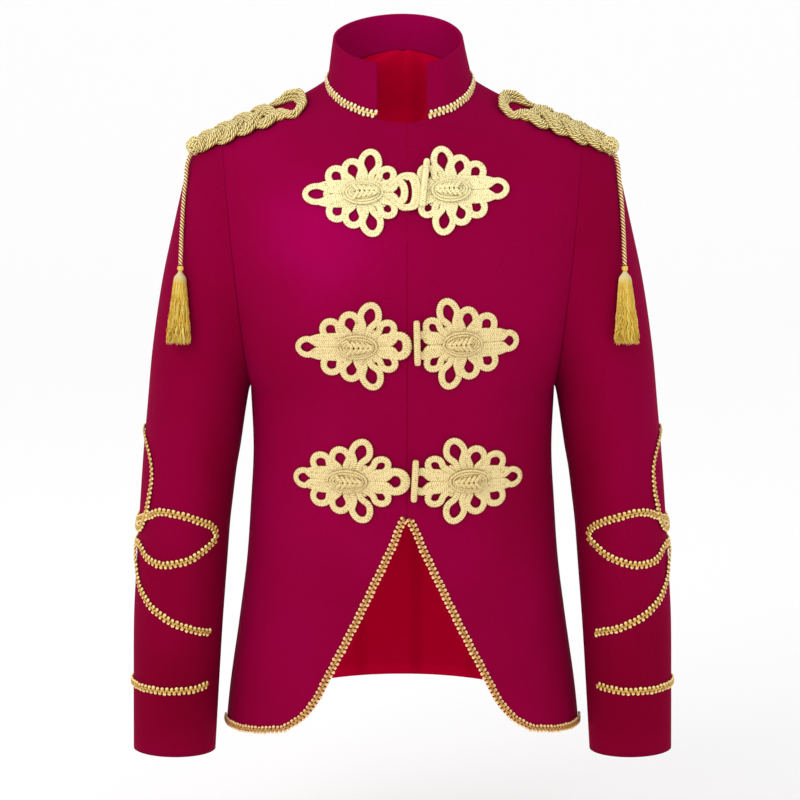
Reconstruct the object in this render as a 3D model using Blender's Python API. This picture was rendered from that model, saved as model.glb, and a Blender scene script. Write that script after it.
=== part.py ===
"""A velvet parade jacket with a stand collar, gold frogs, braid and epaulettes, worn but hollow.

Metres, +Z up, front towards -Y. The origin lies between the two points where the shoulder
seams meet the collar. Left and right are the wearer's: left is +X, right is -X.
"""

import math

import bmesh
import bpy
import numpy as np
from mathutils import Vector
from mathutils.bvhtree import BVHTree
from mathutils.geometry import delaunay_2d_cdt

SIDES = {"right": -1, "left": 1}

# Cloth
CLOTH = 0.002
LINING = 0.001
COLLAR_CLOTH = 0.0025
SEAM_GAP = 0.0004
SHOULDER_GAP = 0.0006
ARMHOLE_GAP = 0.0008
TRIM_GAP = 0.0005
LINING_GAP = 0.0004

# Heights above the side neck point
HEM_Z = -0.6865
CUT_CORNER_Z = -0.6760
BACK_HEM_Z = -0.6680
CUT_TOP_Z = -0.446
ARMPIT_Z = -0.323
NOTCH_Z = -0.0433
BACK_NECK_Z = 0.0257
NECK_SIDE_Z = -0.0055

# The line where the two fronts meet, and how much of the armhole the front rows take below the neck
FRONT_LINE_X = 0.0046
NOTCH_STEP = 0.80
BACK_NECK_STEP = 0.86

# Neck opening and stand collar, and how far the neck leans to the wearer's right
NECK_HALF_WIDTH = 0.0757
NECK_FRONT = 0.072
NECK_BACK = 0.063
NECK_SLOPE_FRONT = 0.495
COLLAR_GAP = 0.0010
COLLAR_END_X = 0.026
COLLAR_TOP_HALF_WIDTH = 0.0676
COLLAR_TOP_FRONT = 0.062
COLLAR_TOP_BACK = 0.060
COLLAR_TOP_Z = 0.040
COLLAR_TOP_SLOPE = 0.40
LEAN = -0.0055
LEAN_FROM_Z = -0.050
LEAN_OVER = 0.100
LEAN_FULL_X = 0.070

# Armhole: top and underarm points in the XZ plane, and its reach to the front and back
SHOULDER_TIP = (0.1874, -0.0555)
UNDERARM = (0.1605, ARMPIT_Z)
ARMHOLE_FRONT = 0.074
ARMHOLE_BACK = 0.078

# Rows and columns of the panels
FRONT_COLUMNS = 10
FRONT_SIDE_ROWS = 4
FRONT_YOKE_ROWS = 8
FRONT_NECK_ROWS = 5
BACK_COLUMNS = 9
BACK_LOW_ROWS = 6
BACK_YOKE_ROWS = 6
BACK_NECK_ROWS = 5

# Trims
BRAID_WIDTH = 0.0082
BRAID_THICK = 0.0014
ROUND_TRIM_GAP = 0.0009
FROG_THICK = 0.0022
KNOT_RISE = 0.0050
TOGGLE_RADIUS = 0.0034
TOGGLE_GAP = 0.0006
EPAULETTE_THICK = 0.0035
EPAULETTE_GAP = 0.0016
EPAULETTE_RISE = 0.0050
CORD_RADIUS = 0.0023

# Torso sections below the armhole: centre-front, side-seam and centre-back points, and the
# lengths of the section's handles at the centre and at the side
TORSO_COLUMNS = ("z", "side_x", "side_y", "front_y", "back_y", "centre_handle", "side_handle")
TORSO = (
    (-0.720, 0.1925, 0.004, -0.1190, 0.1200, 0.112, 0.070),
    (-0.655, 0.1862, 0.004, -0.1170, 0.1160, 0.110, 0.070),
    (-0.574, 0.1745, 0.003, -0.1130, 0.1060, 0.105, 0.068),
    (-0.511, 0.1662, 0.002, -0.1110, 0.0950, 0.102, 0.066),
    (-0.448, 0.1614, 0.001, -0.1110, 0.0900, 0.100, 0.066),
    (-0.394, 0.1582, 0.000, -0.1140, 0.0930, 0.100, 0.068),
    (-0.323, 0.1605, 0.000, -0.1210, 0.1050, 0.100, 0.072),
)

# Centre lines above the armpit, up to the neck
CENTRE_FRONT_COLUMNS = ("z", "y")
CENTRE_FRONT = (
    (-0.400, -0.1135),
    (-0.323, -0.1210),
    (-0.260, -0.1240),
    (-0.200, -0.1210),
    (-0.150, -0.1130),
    (-0.100, -0.0980),
    (-0.0433, -0.0740),
    (0.0, -0.0560),
)
CENTRE_BACK_COLUMNS = ("z", "y")
CENTRE_BACK = (
    (-0.400, 0.0930),
    (-0.323, 0.1050),
    (-0.260, 0.1110),
    (-0.200, 0.1120),
    (-0.140, 0.1080),
    (-0.080, 0.0980),
    (-0.030, 0.0850),
    (0.0258, 0.0630),
)

# How a row of the yoke leaves the centre and meets the armhole, from the armpit level (0)
# to the shoulder seam (1): unit directions, and handle lengths
YOKE_COLUMNS = ("step", "out_x", "out_y", "out_z", "edge_x", "edge_y", "edge_z",
                "centre_handle", "edge_handle")
YOKE = (
    (0.00, 1.00, 0.00, 0.00, 0.00, 1.00, 0.00, 0.100, 0.072),
    (0.12, 1.00, 0.00, 0.00, 0.15, 0.99, 0.00, 0.098, 0.062),
    (0.30, 1.00, 0.00, 0.00, 0.45, 0.89, 0.00, 0.090, 0.050),
    (0.50, 1.00, 0.00, 0.00, 0.75, 0.65, -0.10, 0.080, 0.045),
    (0.80, 0.99, 0.06, -0.10, 0.86, 0.28, -0.40, 0.060, 0.048),
    (0.90, 0.95, 0.12, -0.28, 0.88, 0.14, -0.43, 0.042, 0.042),
    (1.00, 0.905, 0.00, -0.425, 0.905, 0.00, -0.425, 0.036, 0.036),
)

# How steeply a row of the back falls as it leaves the centre or the neck
BACK_FALL_COLUMNS = ("step", "out_z")
BACK_FALL = (
    (0.00, 0.00),
    (0.50, 0.00),
    (0.80, -0.15),
    (0.86, -0.45),
    (0.92, -1.05),
    (0.97, -0.70),
    (1.00, -0.425),
)

# Front edge below the lowest frog, as distance out from the line where the fronts meet
CUTAWAY_COLUMNS = ("z", "out")
CUTAWAY = (
    (-0.6760, 0.1276),
    (-0.6669, 0.1134),
    (-0.6549, 0.1010),
    (-0.6427, 0.0925),
    (-0.6171, 0.0795),
    (-0.5899, 0.0657),
    (-0.5531, 0.0475),
    (-0.5130, 0.0288),
    (-0.4793, 0.0132),
    (-0.4460, 0.0000),
)

# Sleeve rings from the armhole to the cuff: outer and inner points, reach to front and back
SLEEVE_COLUMNS = ("out_x", "out_z", "in_x", "in_z", "front", "back", "mid_y")
SLEEVE = (
    (0.1874, -0.0555, 0.1605, -0.3230, 0.0740, 0.0780, 0.0000),
    (0.2063, -0.0652, 0.1626, -0.3300, 0.0745, 0.0780, 0.0000),
    (0.2212, -0.0822, 0.1642, -0.3383, 0.0745, 0.0775, 0.0000),
    (0.2290, -0.1085, 0.1660, -0.3491, 0.0740, 0.0765, 0.0000),
    (0.2399, -0.1545, 0.1688, -0.3674, 0.0730, 0.0745, -0.0005),
    (0.2527, -0.2126, 0.1720, -0.3889, 0.0715, 0.0725, -0.0010),
    (0.2634, -0.2814, 0.1765, -0.4138, 0.0690, 0.0700, -0.0020),
    (0.2699, -0.3455, 0.1802, -0.4426, 0.0665, 0.0670, -0.0030),
    (0.2748, -0.3960, 0.1837, -0.4717, 0.0640, 0.0645, -0.0040),
    (0.2796, -0.4584, 0.1870, -0.5129, 0.0610, 0.0610, -0.0060),
    (0.2836, -0.5195, 0.1899, -0.5500, 0.0575, 0.0570, -0.0100),
    (0.2864, -0.5706, 0.1926, -0.5870, 0.0535, 0.0525, -0.0150),
    (0.2872, -0.6405, 0.1962, -0.6460, 0.0470, 0.0460, -0.0220),
    (0.2876, -0.7110, 0.2002, -0.7130, 0.0400, 0.0400, -0.0280),
)

# Braid on the sleeve: place along the sleeve, counted in rings, and degrees round it from the
# outer line, plus to the front. From the end of one tail to the top of the knot
SCROLL_COLUMNS = ("ring", "around", "lift")
SCROLL = (
    (10.92, 138.0, 0.0),
    (10.82, 103.0, 0.0),
    (10.68, 76.0, 0.0),
    (10.44, 50.0, 0.0),
    (10.08, 27.0, 0.0),
    (9.76, 18.0, 1.0),
    (9.58, 4.0, 1.0),
    (9.50, -10.0, 1.0),
    (9.46, -22.0, 1.0),
    (9.47, -32.0, 0.0),
    (9.58, -49.0, 0.0),
    (9.50, -75.0, 0.0),
    (9.10, -107.0, 0.0),
    (8.65, -128.0, 0.0),
    (8.38, -138.0, 0.0),
    (8.20, -130.0, 0.0),
    (8.27, -104.0, 0.0),
    (8.45, -78.0, 0.0),
    (8.62, -60.0, 1.0),
    (8.82, -45.0, 1.0),
    (9.05, -20.0, 1.0),
    (9.18, 0.0, 1.0),
    (9.22, 15.0, 1.0),
    (9.16, 28.0, 1.0),
    (8.95, 38.0, 1.0),
    (8.65, 43.0, 1.0),
    (8.30, 45.5, 0.0),
    (7.96, 44.5, 0.0),
    (7.68, 34.0, 0.0),
    (7.50, 16.0, 0.0),
    (7.45, 0.0, 0.0),
)
CUFF_BRAID_RING = 11.97
CUFF_BRAID_RISE = 0.11
CUFF_BRAID_FROM = -139.0
CUFF_BRAID_TO = 139.0

# Frogs: the middle of each closure and the turn of its two halves, in degrees; how far past the
# middle the right half reaches, and where the left half begins; and the toggle's place from the
# middle, its lean in degrees and half its length
FROG_COLUMNS = ("name", "x", "z", "turn", "catch", "start", "toggle_x", "toggle_z", "lean", "half")
FROGS = (
    ("top", 0.0051, -0.1118, 1.7, 0.0092, 0.0099, 0.0168, 0.0079, 6.0, 0.0236),
    ("middle", 0.0082, -0.2647, 1.7, 0.0041, 0.0048, 0.0063, 0.0029, -1.5, 0.0232),
    ("bottom", 0.0056, -0.4066, 0.0, 0.0046, 0.0053, 0.0067, 0.0016, 2.6, 0.0227),
)

# The holes of the cord loops of half a frog: how far out from the closure each lies on the top,
# middle and bottom frog, how far up, half its size, and the width of the cord round it
LOOP_COLUMNS = ("out_top", "out_middle", "out_bottom", "up", "half_out", "half_up", "band")
PAIRED_LOOPS = (
    (0.0709, 0.0796, 0.0880, 0.0172, 0.0042, 0.0050, 0.0082),
    (0.0545, 0.0603, 0.0686, 0.0228, 0.0045, 0.0058, 0.0082),
    (0.0374, 0.0408, 0.0482, 0.0293, 0.0050, 0.0086, 0.0080),
    (0.0216, 0.0244, 0.0283, 0.0160, 0.0030, 0.0046, 0.0080),
)
TIP_LOOP = (0.0927, 0.1029, 0.1036, 0.0, 0.0076, 0.0050, 0.0064)
END_LOOP = (0.0095, 0.0138, 0.0153, 0.0, 0.0056, 0.0060, 0.0088)
FROG_BODY = (0.0500, 0.0560, 0.0620, 0.0, 0.0375, 0.0120, 0.0)
FROG_CLOSURE = (0.0045, 0.0045, 0.0045, 0.0, 0.0130, 0.0160, 0.0)
KNOT = (0.0450, 0.0538, 0.0615, 0.0, 0.0205, 0.0118, 0.0)

# Epaulette, along the shoulder from its inner end to its knot
EPAULETTE_START = 0.0980
EPAULETTE_LENGTH = 0.1385
EPAULETTE_FORWARD = -0.0135
EPAULETTE_COLUMNS = ("along", "half_width", "forward")
EPAULETTE = (
    (0.00, 0.0120, 0.000),
    (0.05, 0.0215, 0.000),
    (0.15, 0.0275, 0.000),
    (0.30, 0.0295, 0.000),
    (0.50, 0.0285, 0.000),
    (0.70, 0.0250, 0.000),
    (0.82, 0.0205, 0.000),
    (0.92, 0.0200, -0.003),
    (1.00, 0.0125, -0.004),
)
PLAIT_PITCH = 0.030

# The hanging cord's route, and the tassel at its end
CORD_COLUMNS = ("x", "y", "z")
CORD_ROUTE = (
    (0.2210, -0.0236, -0.0808),
    (0.2234, -0.0295, -0.0905),
    (0.2241, -0.0342, -0.1025),
    (0.2255, -0.0385, -0.1156),
    (0.2266, -0.0430, -0.1301),
    (0.2276, -0.0491, -0.1498),
    (0.2281, -0.0548, -0.1640),
    (0.2281, -0.0597, -0.1730),
    (0.2283, -0.0630, -0.1800),
    (0.2285, -0.0652, -0.1895),
)
CORD_ROOT = (0.2197, -0.0234, -0.0790)
TASSEL_GAP = 0.0003
TASSEL_LENGTH = 0.0830
TASSEL_SEGMENTS = 9
TASSEL_WAY = (0.027, -0.215, -1.0)
TASSEL_COLUMNS = ("radius", "drop")
TASSEL_PROFILE = (
    (0.0024, 0.0000),
    (0.0037, -0.0012),
    (0.0039, -0.0055),
    (0.0031, -0.0085),
    (0.0050, -0.0115),
    (0.0064, -0.0150),
    (0.0068, -0.0195),
)


def curve_through(table, columns, key):
    """A function of the key column that gives the other columns, smooth through each row."""
    data = np.array(table, float)
    place = columns.index(key)
    keys = data[:, place]
    order = np.argsort(keys)
    keys = keys[order]
    values = np.delete(data, place, axis=1)[order]
    steps = np.diff(keys)[:, None]
    rates = np.diff(values, axis=0) / steps
    slopes = np.vstack([rates[:1], (rates[:-1] * steps[1:] + rates[1:] * steps[:-1])
                        / (steps[1:] + steps[:-1]), rates[-1:]])

    def at(t):
        i = int(np.clip(np.searchsorted(keys, t) - 1, 0, len(keys) - 2))
        h = keys[i + 1] - keys[i]
        s = (t - keys[i]) / h
        return (values[i] * (1 + 2 * s) * (1 - s) ** 2 + slopes[i] * h * s * (1 - s) ** 2
                + values[i + 1] * s * s * (3 - 2 * s) + slopes[i + 1] * h * s * s * (s - 1))

    return at


def numbered(table, columns):
    """The same for a table whose rows are simply counted."""
    rows = [(i,) + tuple(row) for i, row in enumerate(table)]
    return curve_through(rows, ("row",) + tuple(columns), "row")


torso_at = curve_through(TORSO, TORSO_COLUMNS, "z")
centre_front_at = curve_through(CENTRE_FRONT, CENTRE_FRONT_COLUMNS, "z")
centre_back_at = curve_through(CENTRE_BACK, CENTRE_BACK_COLUMNS, "z")
yoke_at = curve_through(YOKE, YOKE_COLUMNS, "step")
back_fall_at = curve_through(BACK_FALL, BACK_FALL_COLUMNS, "step")
cutaway_at = curve_through(CUTAWAY, CUTAWAY_COLUMNS, "z")
sleeve_at = numbered(SLEEVE, SLEEVE_COLUMNS)
epaulette_at = curve_through(EPAULETTE, EPAULETTE_COLUMNS, "along")


def bezier(corners, t):
    a, b, c, d = corners
    t = np.asarray(t, float)[..., None]
    return a * (1 - t) ** 3 + 3 * b * t * (1 - t) ** 2 + 3 * c * t * t * (1 - t) + d * t ** 3


def neck_point(angle):
    """A point of the neck seam, from centre front (0) round the side to centre back (pi)."""
    x = NECK_HALF_WIDTH * math.sin(angle)
    share = math.cos(angle)
    if share > 0:
        return np.array([x, -NECK_FRONT * share, NECK_SIDE_Z - NECK_FRONT * NECK_SLOPE_FRONT * share])
    rise = (BACK_NECK_Z - NECK_SIDE_Z) * (-share) ** 1.5
    return np.array([x, -NECK_BACK * share, NECK_SIDE_Z + rise])


def leaned(points):
    """The points with the neck and collar shifted to one side, as the jacket sits."""
    points = np.array(points, float)
    rise = np.clip((points[..., 2] - LEAN_FROM_Z) / LEAN_OVER, 0, 1)
    out = np.clip(np.abs(points[..., 0]) / LEAN_FULL_X, 0, 1) ** 2
    points[..., 0] += LEAN * rise * out
    return points


def armhole_point(angle, face):
    """A point of the left armhole: angle 0 at the shoulder, pi underarm; face -1 front, 1 back."""
    top, low = np.array(SHOULDER_TIP), np.array(UNDERARM)
    x, z = (top + low) / 2 + (top - low) / 2 * math.cos(angle)
    reach = ARMHOLE_FRONT if face < 0 else ARMHOLE_BACK
    return np.array([x, face * reach * math.sin(angle), z])


def torso_section(z, face):
    """The four corners of the curve from the centre line to the left side seam at this height."""
    side_x, side_y, front_y, back_y, centre_handle, side_handle = torso_at(z)
    centre = np.array([0.0, front_y if face < 0 else back_y, z])
    side = np.array([side_x, side_y, z])
    return (centre, centre + [centre_handle, 0, 0], side + [0, face * side_handle, 0], side)


def yoke_section(step, face):
    """The same above the armpit, where a row ends on the armhole and climbs to the shoulder."""
    neck_step = NOTCH_STEP if face < 0 else BACK_NECK_STEP
    centre_at = centre_front_at if face < 0 else centre_back_at
    top_z = NOTCH_Z if face < 0 else BACK_NECK_Z
    if step <= neck_step:
        z = ARMPIT_Z + (top_z - ARMPIT_Z) * step / neck_step
        centre = np.array([0.0, centre_at(z)[0], z])
    else:
        share = (step - neck_step) / (1 - neck_step)
        turn = share * math.pi / 2
        centre = neck_point(turn if face < 0 else math.pi - turn)
        if face < 0:
            centre = centre + [0, 0, (NOTCH_Z - neck_point(0)[2]) * (1 - share) ** 4]
    edge = armhole_point(math.pi * (1 - step), face)
    row = yoke_at(step)
    out = np.array([row[0], -face * row[1], row[2] if face < 0 else back_fall_at(step)[0]])
    meet = np.array([row[3], -face * row[4], row[5]])
    out = out / np.linalg.norm(out)
    meet = meet / np.linalg.norm(meet)
    return (centre, centre + out * row[6], edge - meet * row[7], edge)


def start_of(corners, x):
    """Where along the curve it is this far out."""
    low, high = 0.0, 1.0
    for _ in range(40):
        middle = (low + high) / 2
        if bezier(corners, middle)[0] < x:
            low = middle
        else:
            high = middle
    return low


def steps_between(stops, counts):
    """Values from stop to stop, with this many steps in each stretch."""
    values = [stops[0]]
    for a, b, n in zip(stops, stops[1:], counts):
        values += [a + (b - a) * (i + 1) / n for i in range(n)]
    return values


def front_rows(side, columns, fineness=1):
    """The front from hem to shoulder in rows, from the front edge out to side seam and armhole,
    as if it were the left one."""
    rows = []
    offset = -side * FRONT_LINE_X
    stops = [row[0] for row in CUTAWAY] + [ARMPIT_Z]
    counts = [fineness] * (len(CUTAWAY) - 1) + [FRONT_SIDE_ROWS * fineness]
    low_zs = steps_between(stops, counts)
    for z in low_zs:
        share = (z - CUT_CORNER_Z) / (ARMPIT_Z - CUT_CORNER_Z)
        side_z = HEM_Z + (ARMPIT_Z - HEM_Z) * share
        out = max(cutaway_at(z)[0], 0.0) if z < CUT_TOP_Z else 0.0
        first = start_of(torso_section(z, -1), out - offset + SEAM_GAP / 2) if out > 0 else 0.0
        row = []
        for a in np.linspace(0, 1, columns + 1):
            height = side_z + (z - side_z) * (1 - a) ** 3
            row.append(bezier(torso_section(height, -1), first + (1 - first) * a))
        if out == 0:
            shift = (SEAM_GAP / 2 - offset) * (1 - np.linspace(0, 1, columns + 1)) ** 2
            row = np.array(row) + np.outer(shift, [1, 0, 0])
        rows.append(np.array(row))
    counts = (FRONT_YOKE_ROWS * fineness, FRONT_NECK_ROWS * fineness)
    for step in steps_between((0.0, NOTCH_STEP, 1.0), counts)[1:]:
        row = bezier(yoke_section(step, -1), np.linspace(0, 1, columns + 1))
        away = 1 - np.linspace(0, 1, columns + 1)
        if step <= NOTCH_STEP:
            row = row + np.outer((SEAM_GAP / 2 - offset) * away ** 2, [1, 0, 0])
        rows.append(row)
    return np.array(rows)


def front_grid(side, columns, fineness=1):
    return leaned(mirrored(front_rows(side, columns, fineness), side))


def mirrored(grid, side):
    """The grid on its own side of the body, with its columns turned so that it still faces out."""
    if side > 0:
        return grid
    return (grid * [-1, 1, 1])[:, ::-1]


def back_half(columns, fineness=1):
    """The left half of the back in rows from hem to shoulder, centre line to side and armhole."""
    rows = []
    for share in np.linspace(0, 1, BACK_LOW_ROWS * fineness + 1):
        row = []
        for a in np.linspace(0, 1, columns + 1):
            hem = BACK_HEM_Z + (HEM_Z - BACK_HEM_Z) * math.sin(a * math.pi / 2) ** 2
            z = hem + (ARMPIT_Z - hem) * share
            row.append(bezier(torso_section(z, 1), a))
        rows.append(np.array(row))
    counts = (BACK_YOKE_ROWS * fineness, BACK_NECK_ROWS * fineness)
    for step in steps_between((0.0, BACK_NECK_STEP, 1.0), counts)[1:]:
        rows.append(bezier(yoke_section(step, 1), np.linspace(0, 1, columns + 1)))
    return np.array(rows)


def grid_normals(grid, before=None, after=None, above=None):
    """Outward directions, with the neighbouring row or columns where the surface goes on."""
    left = grid[:, :1] * 2 - grid[:, 1:2] if before is None else before[:, None]
    right = grid[:, -1:] * 2 - grid[:, -2:-1] if after is None else after[:, None]
    wide = np.concatenate([left, grid, right], axis=1)
    across = wide[:, 2:] - wide[:, :-2]
    low = grid[:1] * 2 - grid[1:2]
    high = grid[-1:] * 2 - grid[-2:-1] if above is None else above[None]
    tall = np.concatenate([low, grid, high])
    up = tall[2:] - tall[:-2]
    normals = np.cross(across, up)
    return normals / np.maximum(np.linalg.norm(normals, axis=2, keepdims=True), 1e-12)


def grid_faces(rows, columns, closed=False, keep=None):
    """Quads over a grid of points, counted row by row."""
    faces = []
    for i in range(rows - 1):
        for j in range(columns if closed else columns - 1):
            if keep is None or keep(i, j):
                k = (j + 1) % columns
                faces.append((i * columns + j, i * columns + k,
                              (i + 1) * columns + k, (i + 1) * columns + j))
    return faces


def turned(face):
    """The face seen from its other side, still cut into triangles along the same diagonal."""
    return (face[0],) + tuple(reversed(face[1:]))


def shell(name, points, normals, faces, outer, inner, material):
    """A closed wall over a sheet of faces, from inner to outer along each point's normal."""
    used = sorted({i for face in faces for i in face})
    index = {old: new for new, old in enumerate(used)}
    faces = [tuple(index[i] for i in face) for face in faces]
    points = np.asarray(points, float).reshape(-1, 3)[used]
    normals = np.asarray(normals, float).reshape(-1, 3)[used]
    outer = np.broadcast_to(np.asarray(outer, float).reshape(-1, 1), (len(used), 1)) \
        if np.size(outer) == 1 else np.asarray(outer, float).reshape(-1, 1)[used]
    top = points + normals * outer
    bottom = points + normals * inner
    count = len(used)
    edges = {(a, b) for face in faces for a, b in zip(face, face[1:] + face[:1])}
    rim = [(b, a, a + count, b + count) for a, b in edges if (b, a) not in edges]
    under = [tuple(i + count for i in turned(face)) for face in faces]
    mesh = bpy.data.meshes.new(name)
    mesh.from_pydata(np.vstack([top, bottom]).tolist(), [], faces + under + sorted(rim))
    return finished(name, mesh, material)


def finished(name, mesh, material):
    """An object with this mesh and material, shaded smooth but for its sharp edges."""
    mesh.validate()
    mesh.materials.append(material)
    mesh.shade_smooth()
    mesh.set_sharp_from_angle(angle=math.radians(40))
    obj = bpy.data.objects.new(name, mesh)
    jacket.objects.link(obj)
    return obj


def material(name, colour, roughness, metallic=0.0):
    made = bpy.data.materials.new(name)
    made.use_nodes = True
    shader = made.node_tree.nodes["Principled BSDF"]
    shader.inputs["Base Color"].default_value = (*colour, 1.0)
    shader.inputs["Roughness"].default_value = roughness
    shader.inputs["Metallic"].default_value = metallic
    made.diffuse_color = (*colour, 1.0)
    return made


def velvet(name):
    return material(name + "_velvet", (0.29, 0.003, 0.045), 0.85)


def gold(name):
    return material(name + "_gold", (0.78, 0.60, 0.22), 0.45, 0.3)


class Surface:
    """A fine sheet of the garment that trims are laid on."""

    def __init__(self, grids):
        points, faces = [], []
        for grid in grids:
            rows, columns = grid.shape[:2]
            start = len(points)
            points += [Vector(p) for p in grid.reshape(-1, 3)]
            faces += [tuple(start + i for i in face) for face in grid_faces(rows, columns)]
        self.tree = BVHTree.FromPolygons(points, faces)

    def from_front(self, x, z):
        """The point straight behind (x, z), and the way out of the cloth there."""
        place, normal, _, _ = self.tree.ray_cast(Vector((x, -1, z)), Vector((0, 1, 0)))
        if place is None:
            place, normal, _, _ = self.tree.find_nearest(Vector((x, -0.1, z)))
        return np.array(place), np.array(normal)

    def along(self, start, direction):
        place, normal, _, _ = self.tree.ray_cast(Vector(start), Vector(direction))
        if place is None:
            place, normal, _, _ = self.tree.find_nearest(Vector(start) + Vector(direction) * 0.1)
        return np.array(place), np.array(normal)

    def nearest(self, point):
        place, normal, _, _ = self.tree.find_nearest(Vector(point))
        return np.array(place), np.array(normal)


def side_beyond(own, other, seam_rows, other_rows):
    """Where each row of a left panel would go on past its side seam and shoulder, for smooth
    normals: a column beyond its last one, and a row above its top one."""
    beyond = 2 * own[:, -1] - own[:, -2]
    for i in range(seam_rows + 1):
        j = int(np.argmin(np.abs(other[:other_rows + 1, -1, 2] - own[i, -1, 2])))
        beyond[i] = own[i, -1] + other[j, -2] - other[j, -1]
    columns = np.linspace(0, other.shape[1] - 1, own.shape[1]).round().astype(int)
    above = own[-1] + other[-2][columns] - other[-1][columns]
    return beyond, above


def panel_normals(own, other, seam_rows, other_rows, way):
    """Outward normals of a left panel; way 1 where its columns run to the left, -1 otherwise."""
    beyond, above = side_beyond(own, other, seam_rows, other_rows)
    return way * grid_normals(own, after=beyond, above=above)


def make_fronts():
    """Each front, with its side seam and shoulder seam a little apart from the back."""
    seam = len(CUTAWAY) - 1 + FRONT_SIDE_ROWS
    for name, side in SIDES.items():
        rows = front_rows(side, FRONT_COLUMNS)
        normals = panel_normals(rows, back_half(BACK_COLUMNS), seam, BACK_LOW_ROWS, 1)
        normals[len(CUTAWAY) - 1:seam + FRONT_YOKE_ROWS + 1, 0, 0] = 0
        rows[-1, :, 1] -= SHOULDER_GAP / 2
        rows[:seam, -1, 1] -= SEAM_GAP / 2
        faces = grid_faces(*rows.shape[:2])
        if side < 0:
            faces = [turned(face) for face in faces]
        sign = np.array([side, 1, 1])
        shell("front_" + name, leaned(rows * sign), normals * sign, faces, 0.0, -CLOTH,
              velvet("front_" + name))


def make_back(name, inset, thickness, cloth):
    """The back, or its lining: one sheet whose halves meet on the centre line below the neck."""
    half = back_half(BACK_COLUMNS)
    seam = len(CUTAWAY) - 1 + FRONT_SIDE_ROWS
    normals = panel_normals(half, front_rows(1, BACK_COLUMNS), BACK_LOW_ROWS, seam, -1)
    neck_row = BACK_LOW_ROWS + BACK_YOKE_ROWS
    normals[:neck_row + 1, 0, 0] = 0
    half[-1, :, 1] += SHOULDER_GAP / 2
    half[:BACK_LOW_ROWS + 1, -1, 1] += SEAM_GAP / 2
    rows, count = half.shape[:2]
    faces = [turned(face) for face in grid_faces(rows, count)]
    flat = half.reshape(-1, 3)
    flat_normals = normals.reshape(-1, 3)
    total = len(flat)

    def on_right(i):
        row, column = divmod(i, count)
        return i if column == 0 and row <= neck_row else i + total

    faces += [tuple(on_right(i) for i in turned(face)) for face in faces]
    points = leaned(np.vstack([flat, flat * [-1, 1, 1]]))
    shell(name, points, np.vstack([flat_normals, flat_normals * [-1, 1, 1]]), faces,
          -inset, -inset - thickness, cloth)


def collar_point(angle, rise, top_angle):
    """From the neck seam (rise 0) to the collar's top edge (1)."""
    low = neck_point(angle)
    x = COLLAR_TOP_HALF_WIDTH * math.sin(top_angle)
    y = -(COLLAR_TOP_FRONT if math.cos(top_angle) > 0 else COLLAR_TOP_BACK) * math.cos(top_angle)
    top = np.array([x, y, COLLAR_TOP_Z + COLLAR_TOP_SLOPE * y])
    return leaned(low + (top - low) * rise) + [0, 0, COLLAR_GAP]


def collar_grid(columns, rows):
    """The stand collar from its front end on the left, round the back, to the right."""
    first = math.asin(COLLAR_END_X / NECK_HALF_WIDTH)
    top_first = math.asin(COLLAR_END_X / COLLAR_TOP_HALF_WIDTH)
    grid = []
    for rise in np.linspace(0, 1, rows + 1):
        row = []
        for a in np.linspace(0, 1, columns + 1):
            angle = first + (2 * math.pi - 2 * first) * a
            top_angle = top_first + (2 * math.pi - 2 * top_first) * a
            row.append(collar_point(angle, rise, top_angle))
        grid.append(row)
    return np.array(grid)


def make_collar():
    grid = collar_grid(32, 3)
    normals = grid_normals(grid)
    shell("collar", grid, normals, grid_faces(*grid.shape[:2]), 0.0, -COLLAR_CLOTH,
          velvet("collar"))


def sleeve_point(ring, around):
    """A point of the left sleeve: place in rings from the armhole, degrees from the outer line."""
    out_x, out_z, in_x, in_z, front, back, mid_y = sleeve_at(ring)
    turn = math.radians(around)
    along = math.cos(turn)
    reach = math.sin(turn) * (front if turn > 0 else back)
    x = (out_x + in_x) / 2 + (out_x - in_x) / 2 * along
    z = (out_z + in_z) / 2 + (out_z - in_z) / 2 * along
    return np.array([x, mid_y - reach, z])


def sleeve_grid(side, around, rings):
    """The sleeve in rings from the cuff up to the armhole."""
    grid = []
    for ring in reversed(rings):
        row = [sleeve_point(ring, 180 - 360 * j / around) for j in range(around)]
        grid.append(row)
    grid = np.array(grid)
    grid[-1] += [ARMHOLE_GAP, 0, 0]
    if side < 0:
        grid = (grid * [-1, 1, 1])[:, ::-1]
    return grid


def closed_sleeve(side, last):
    """A fine sleeve down to this ring, as an open sheet whose two edges meet."""
    grid = sleeve_grid(side, 80, [0.0] + steps_between((0.02, last), (int(8 * last),)))
    return np.concatenate([grid, grid[:, :1]], axis=1)


def make_sleeves():
    last = len(SLEEVE) - 1
    rings = steps_between((0.0, 1.0, last), (1, 12))
    for name, side in SIDES.items():
        grid = sleeve_grid(side, 18, rings)
        normals = grid_normals(grid, before=grid[:, -1], after=grid[:, 0])
        faces = grid_faces(*grid.shape[:2], closed=True)
        if np.dot(normals[3, 0], grid[3, 0] - grid[3].mean(axis=0)) < 0:
            normals = -normals
            faces = [turned(face) for face in faces]
        shell("sleeve_" + name, grid, normals, faces, 0.0, -CLOTH, velvet("sleeve_" + name))


def spaced_path(points, spacing):
    """Points at even steps along a smooth curve through the given ones."""
    at = numbered(points, tuple("xyzw"[:len(points[0])]))
    fine = np.array([at(t) for t in np.linspace(0, len(points) - 1, 40 * len(points))])
    lengths = np.concatenate([[0], np.cumsum(np.linalg.norm(np.diff(fine[:, :3], axis=0), axis=1))])
    count = max(2, int(round(lengths[-1] / spacing)))
    marks = np.linspace(0, lengths[-1], count + 1)
    return np.array([[np.interp(m, lengths, fine[:, k]) for k in range(fine.shape[1])]
                     for m in marks])


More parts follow.
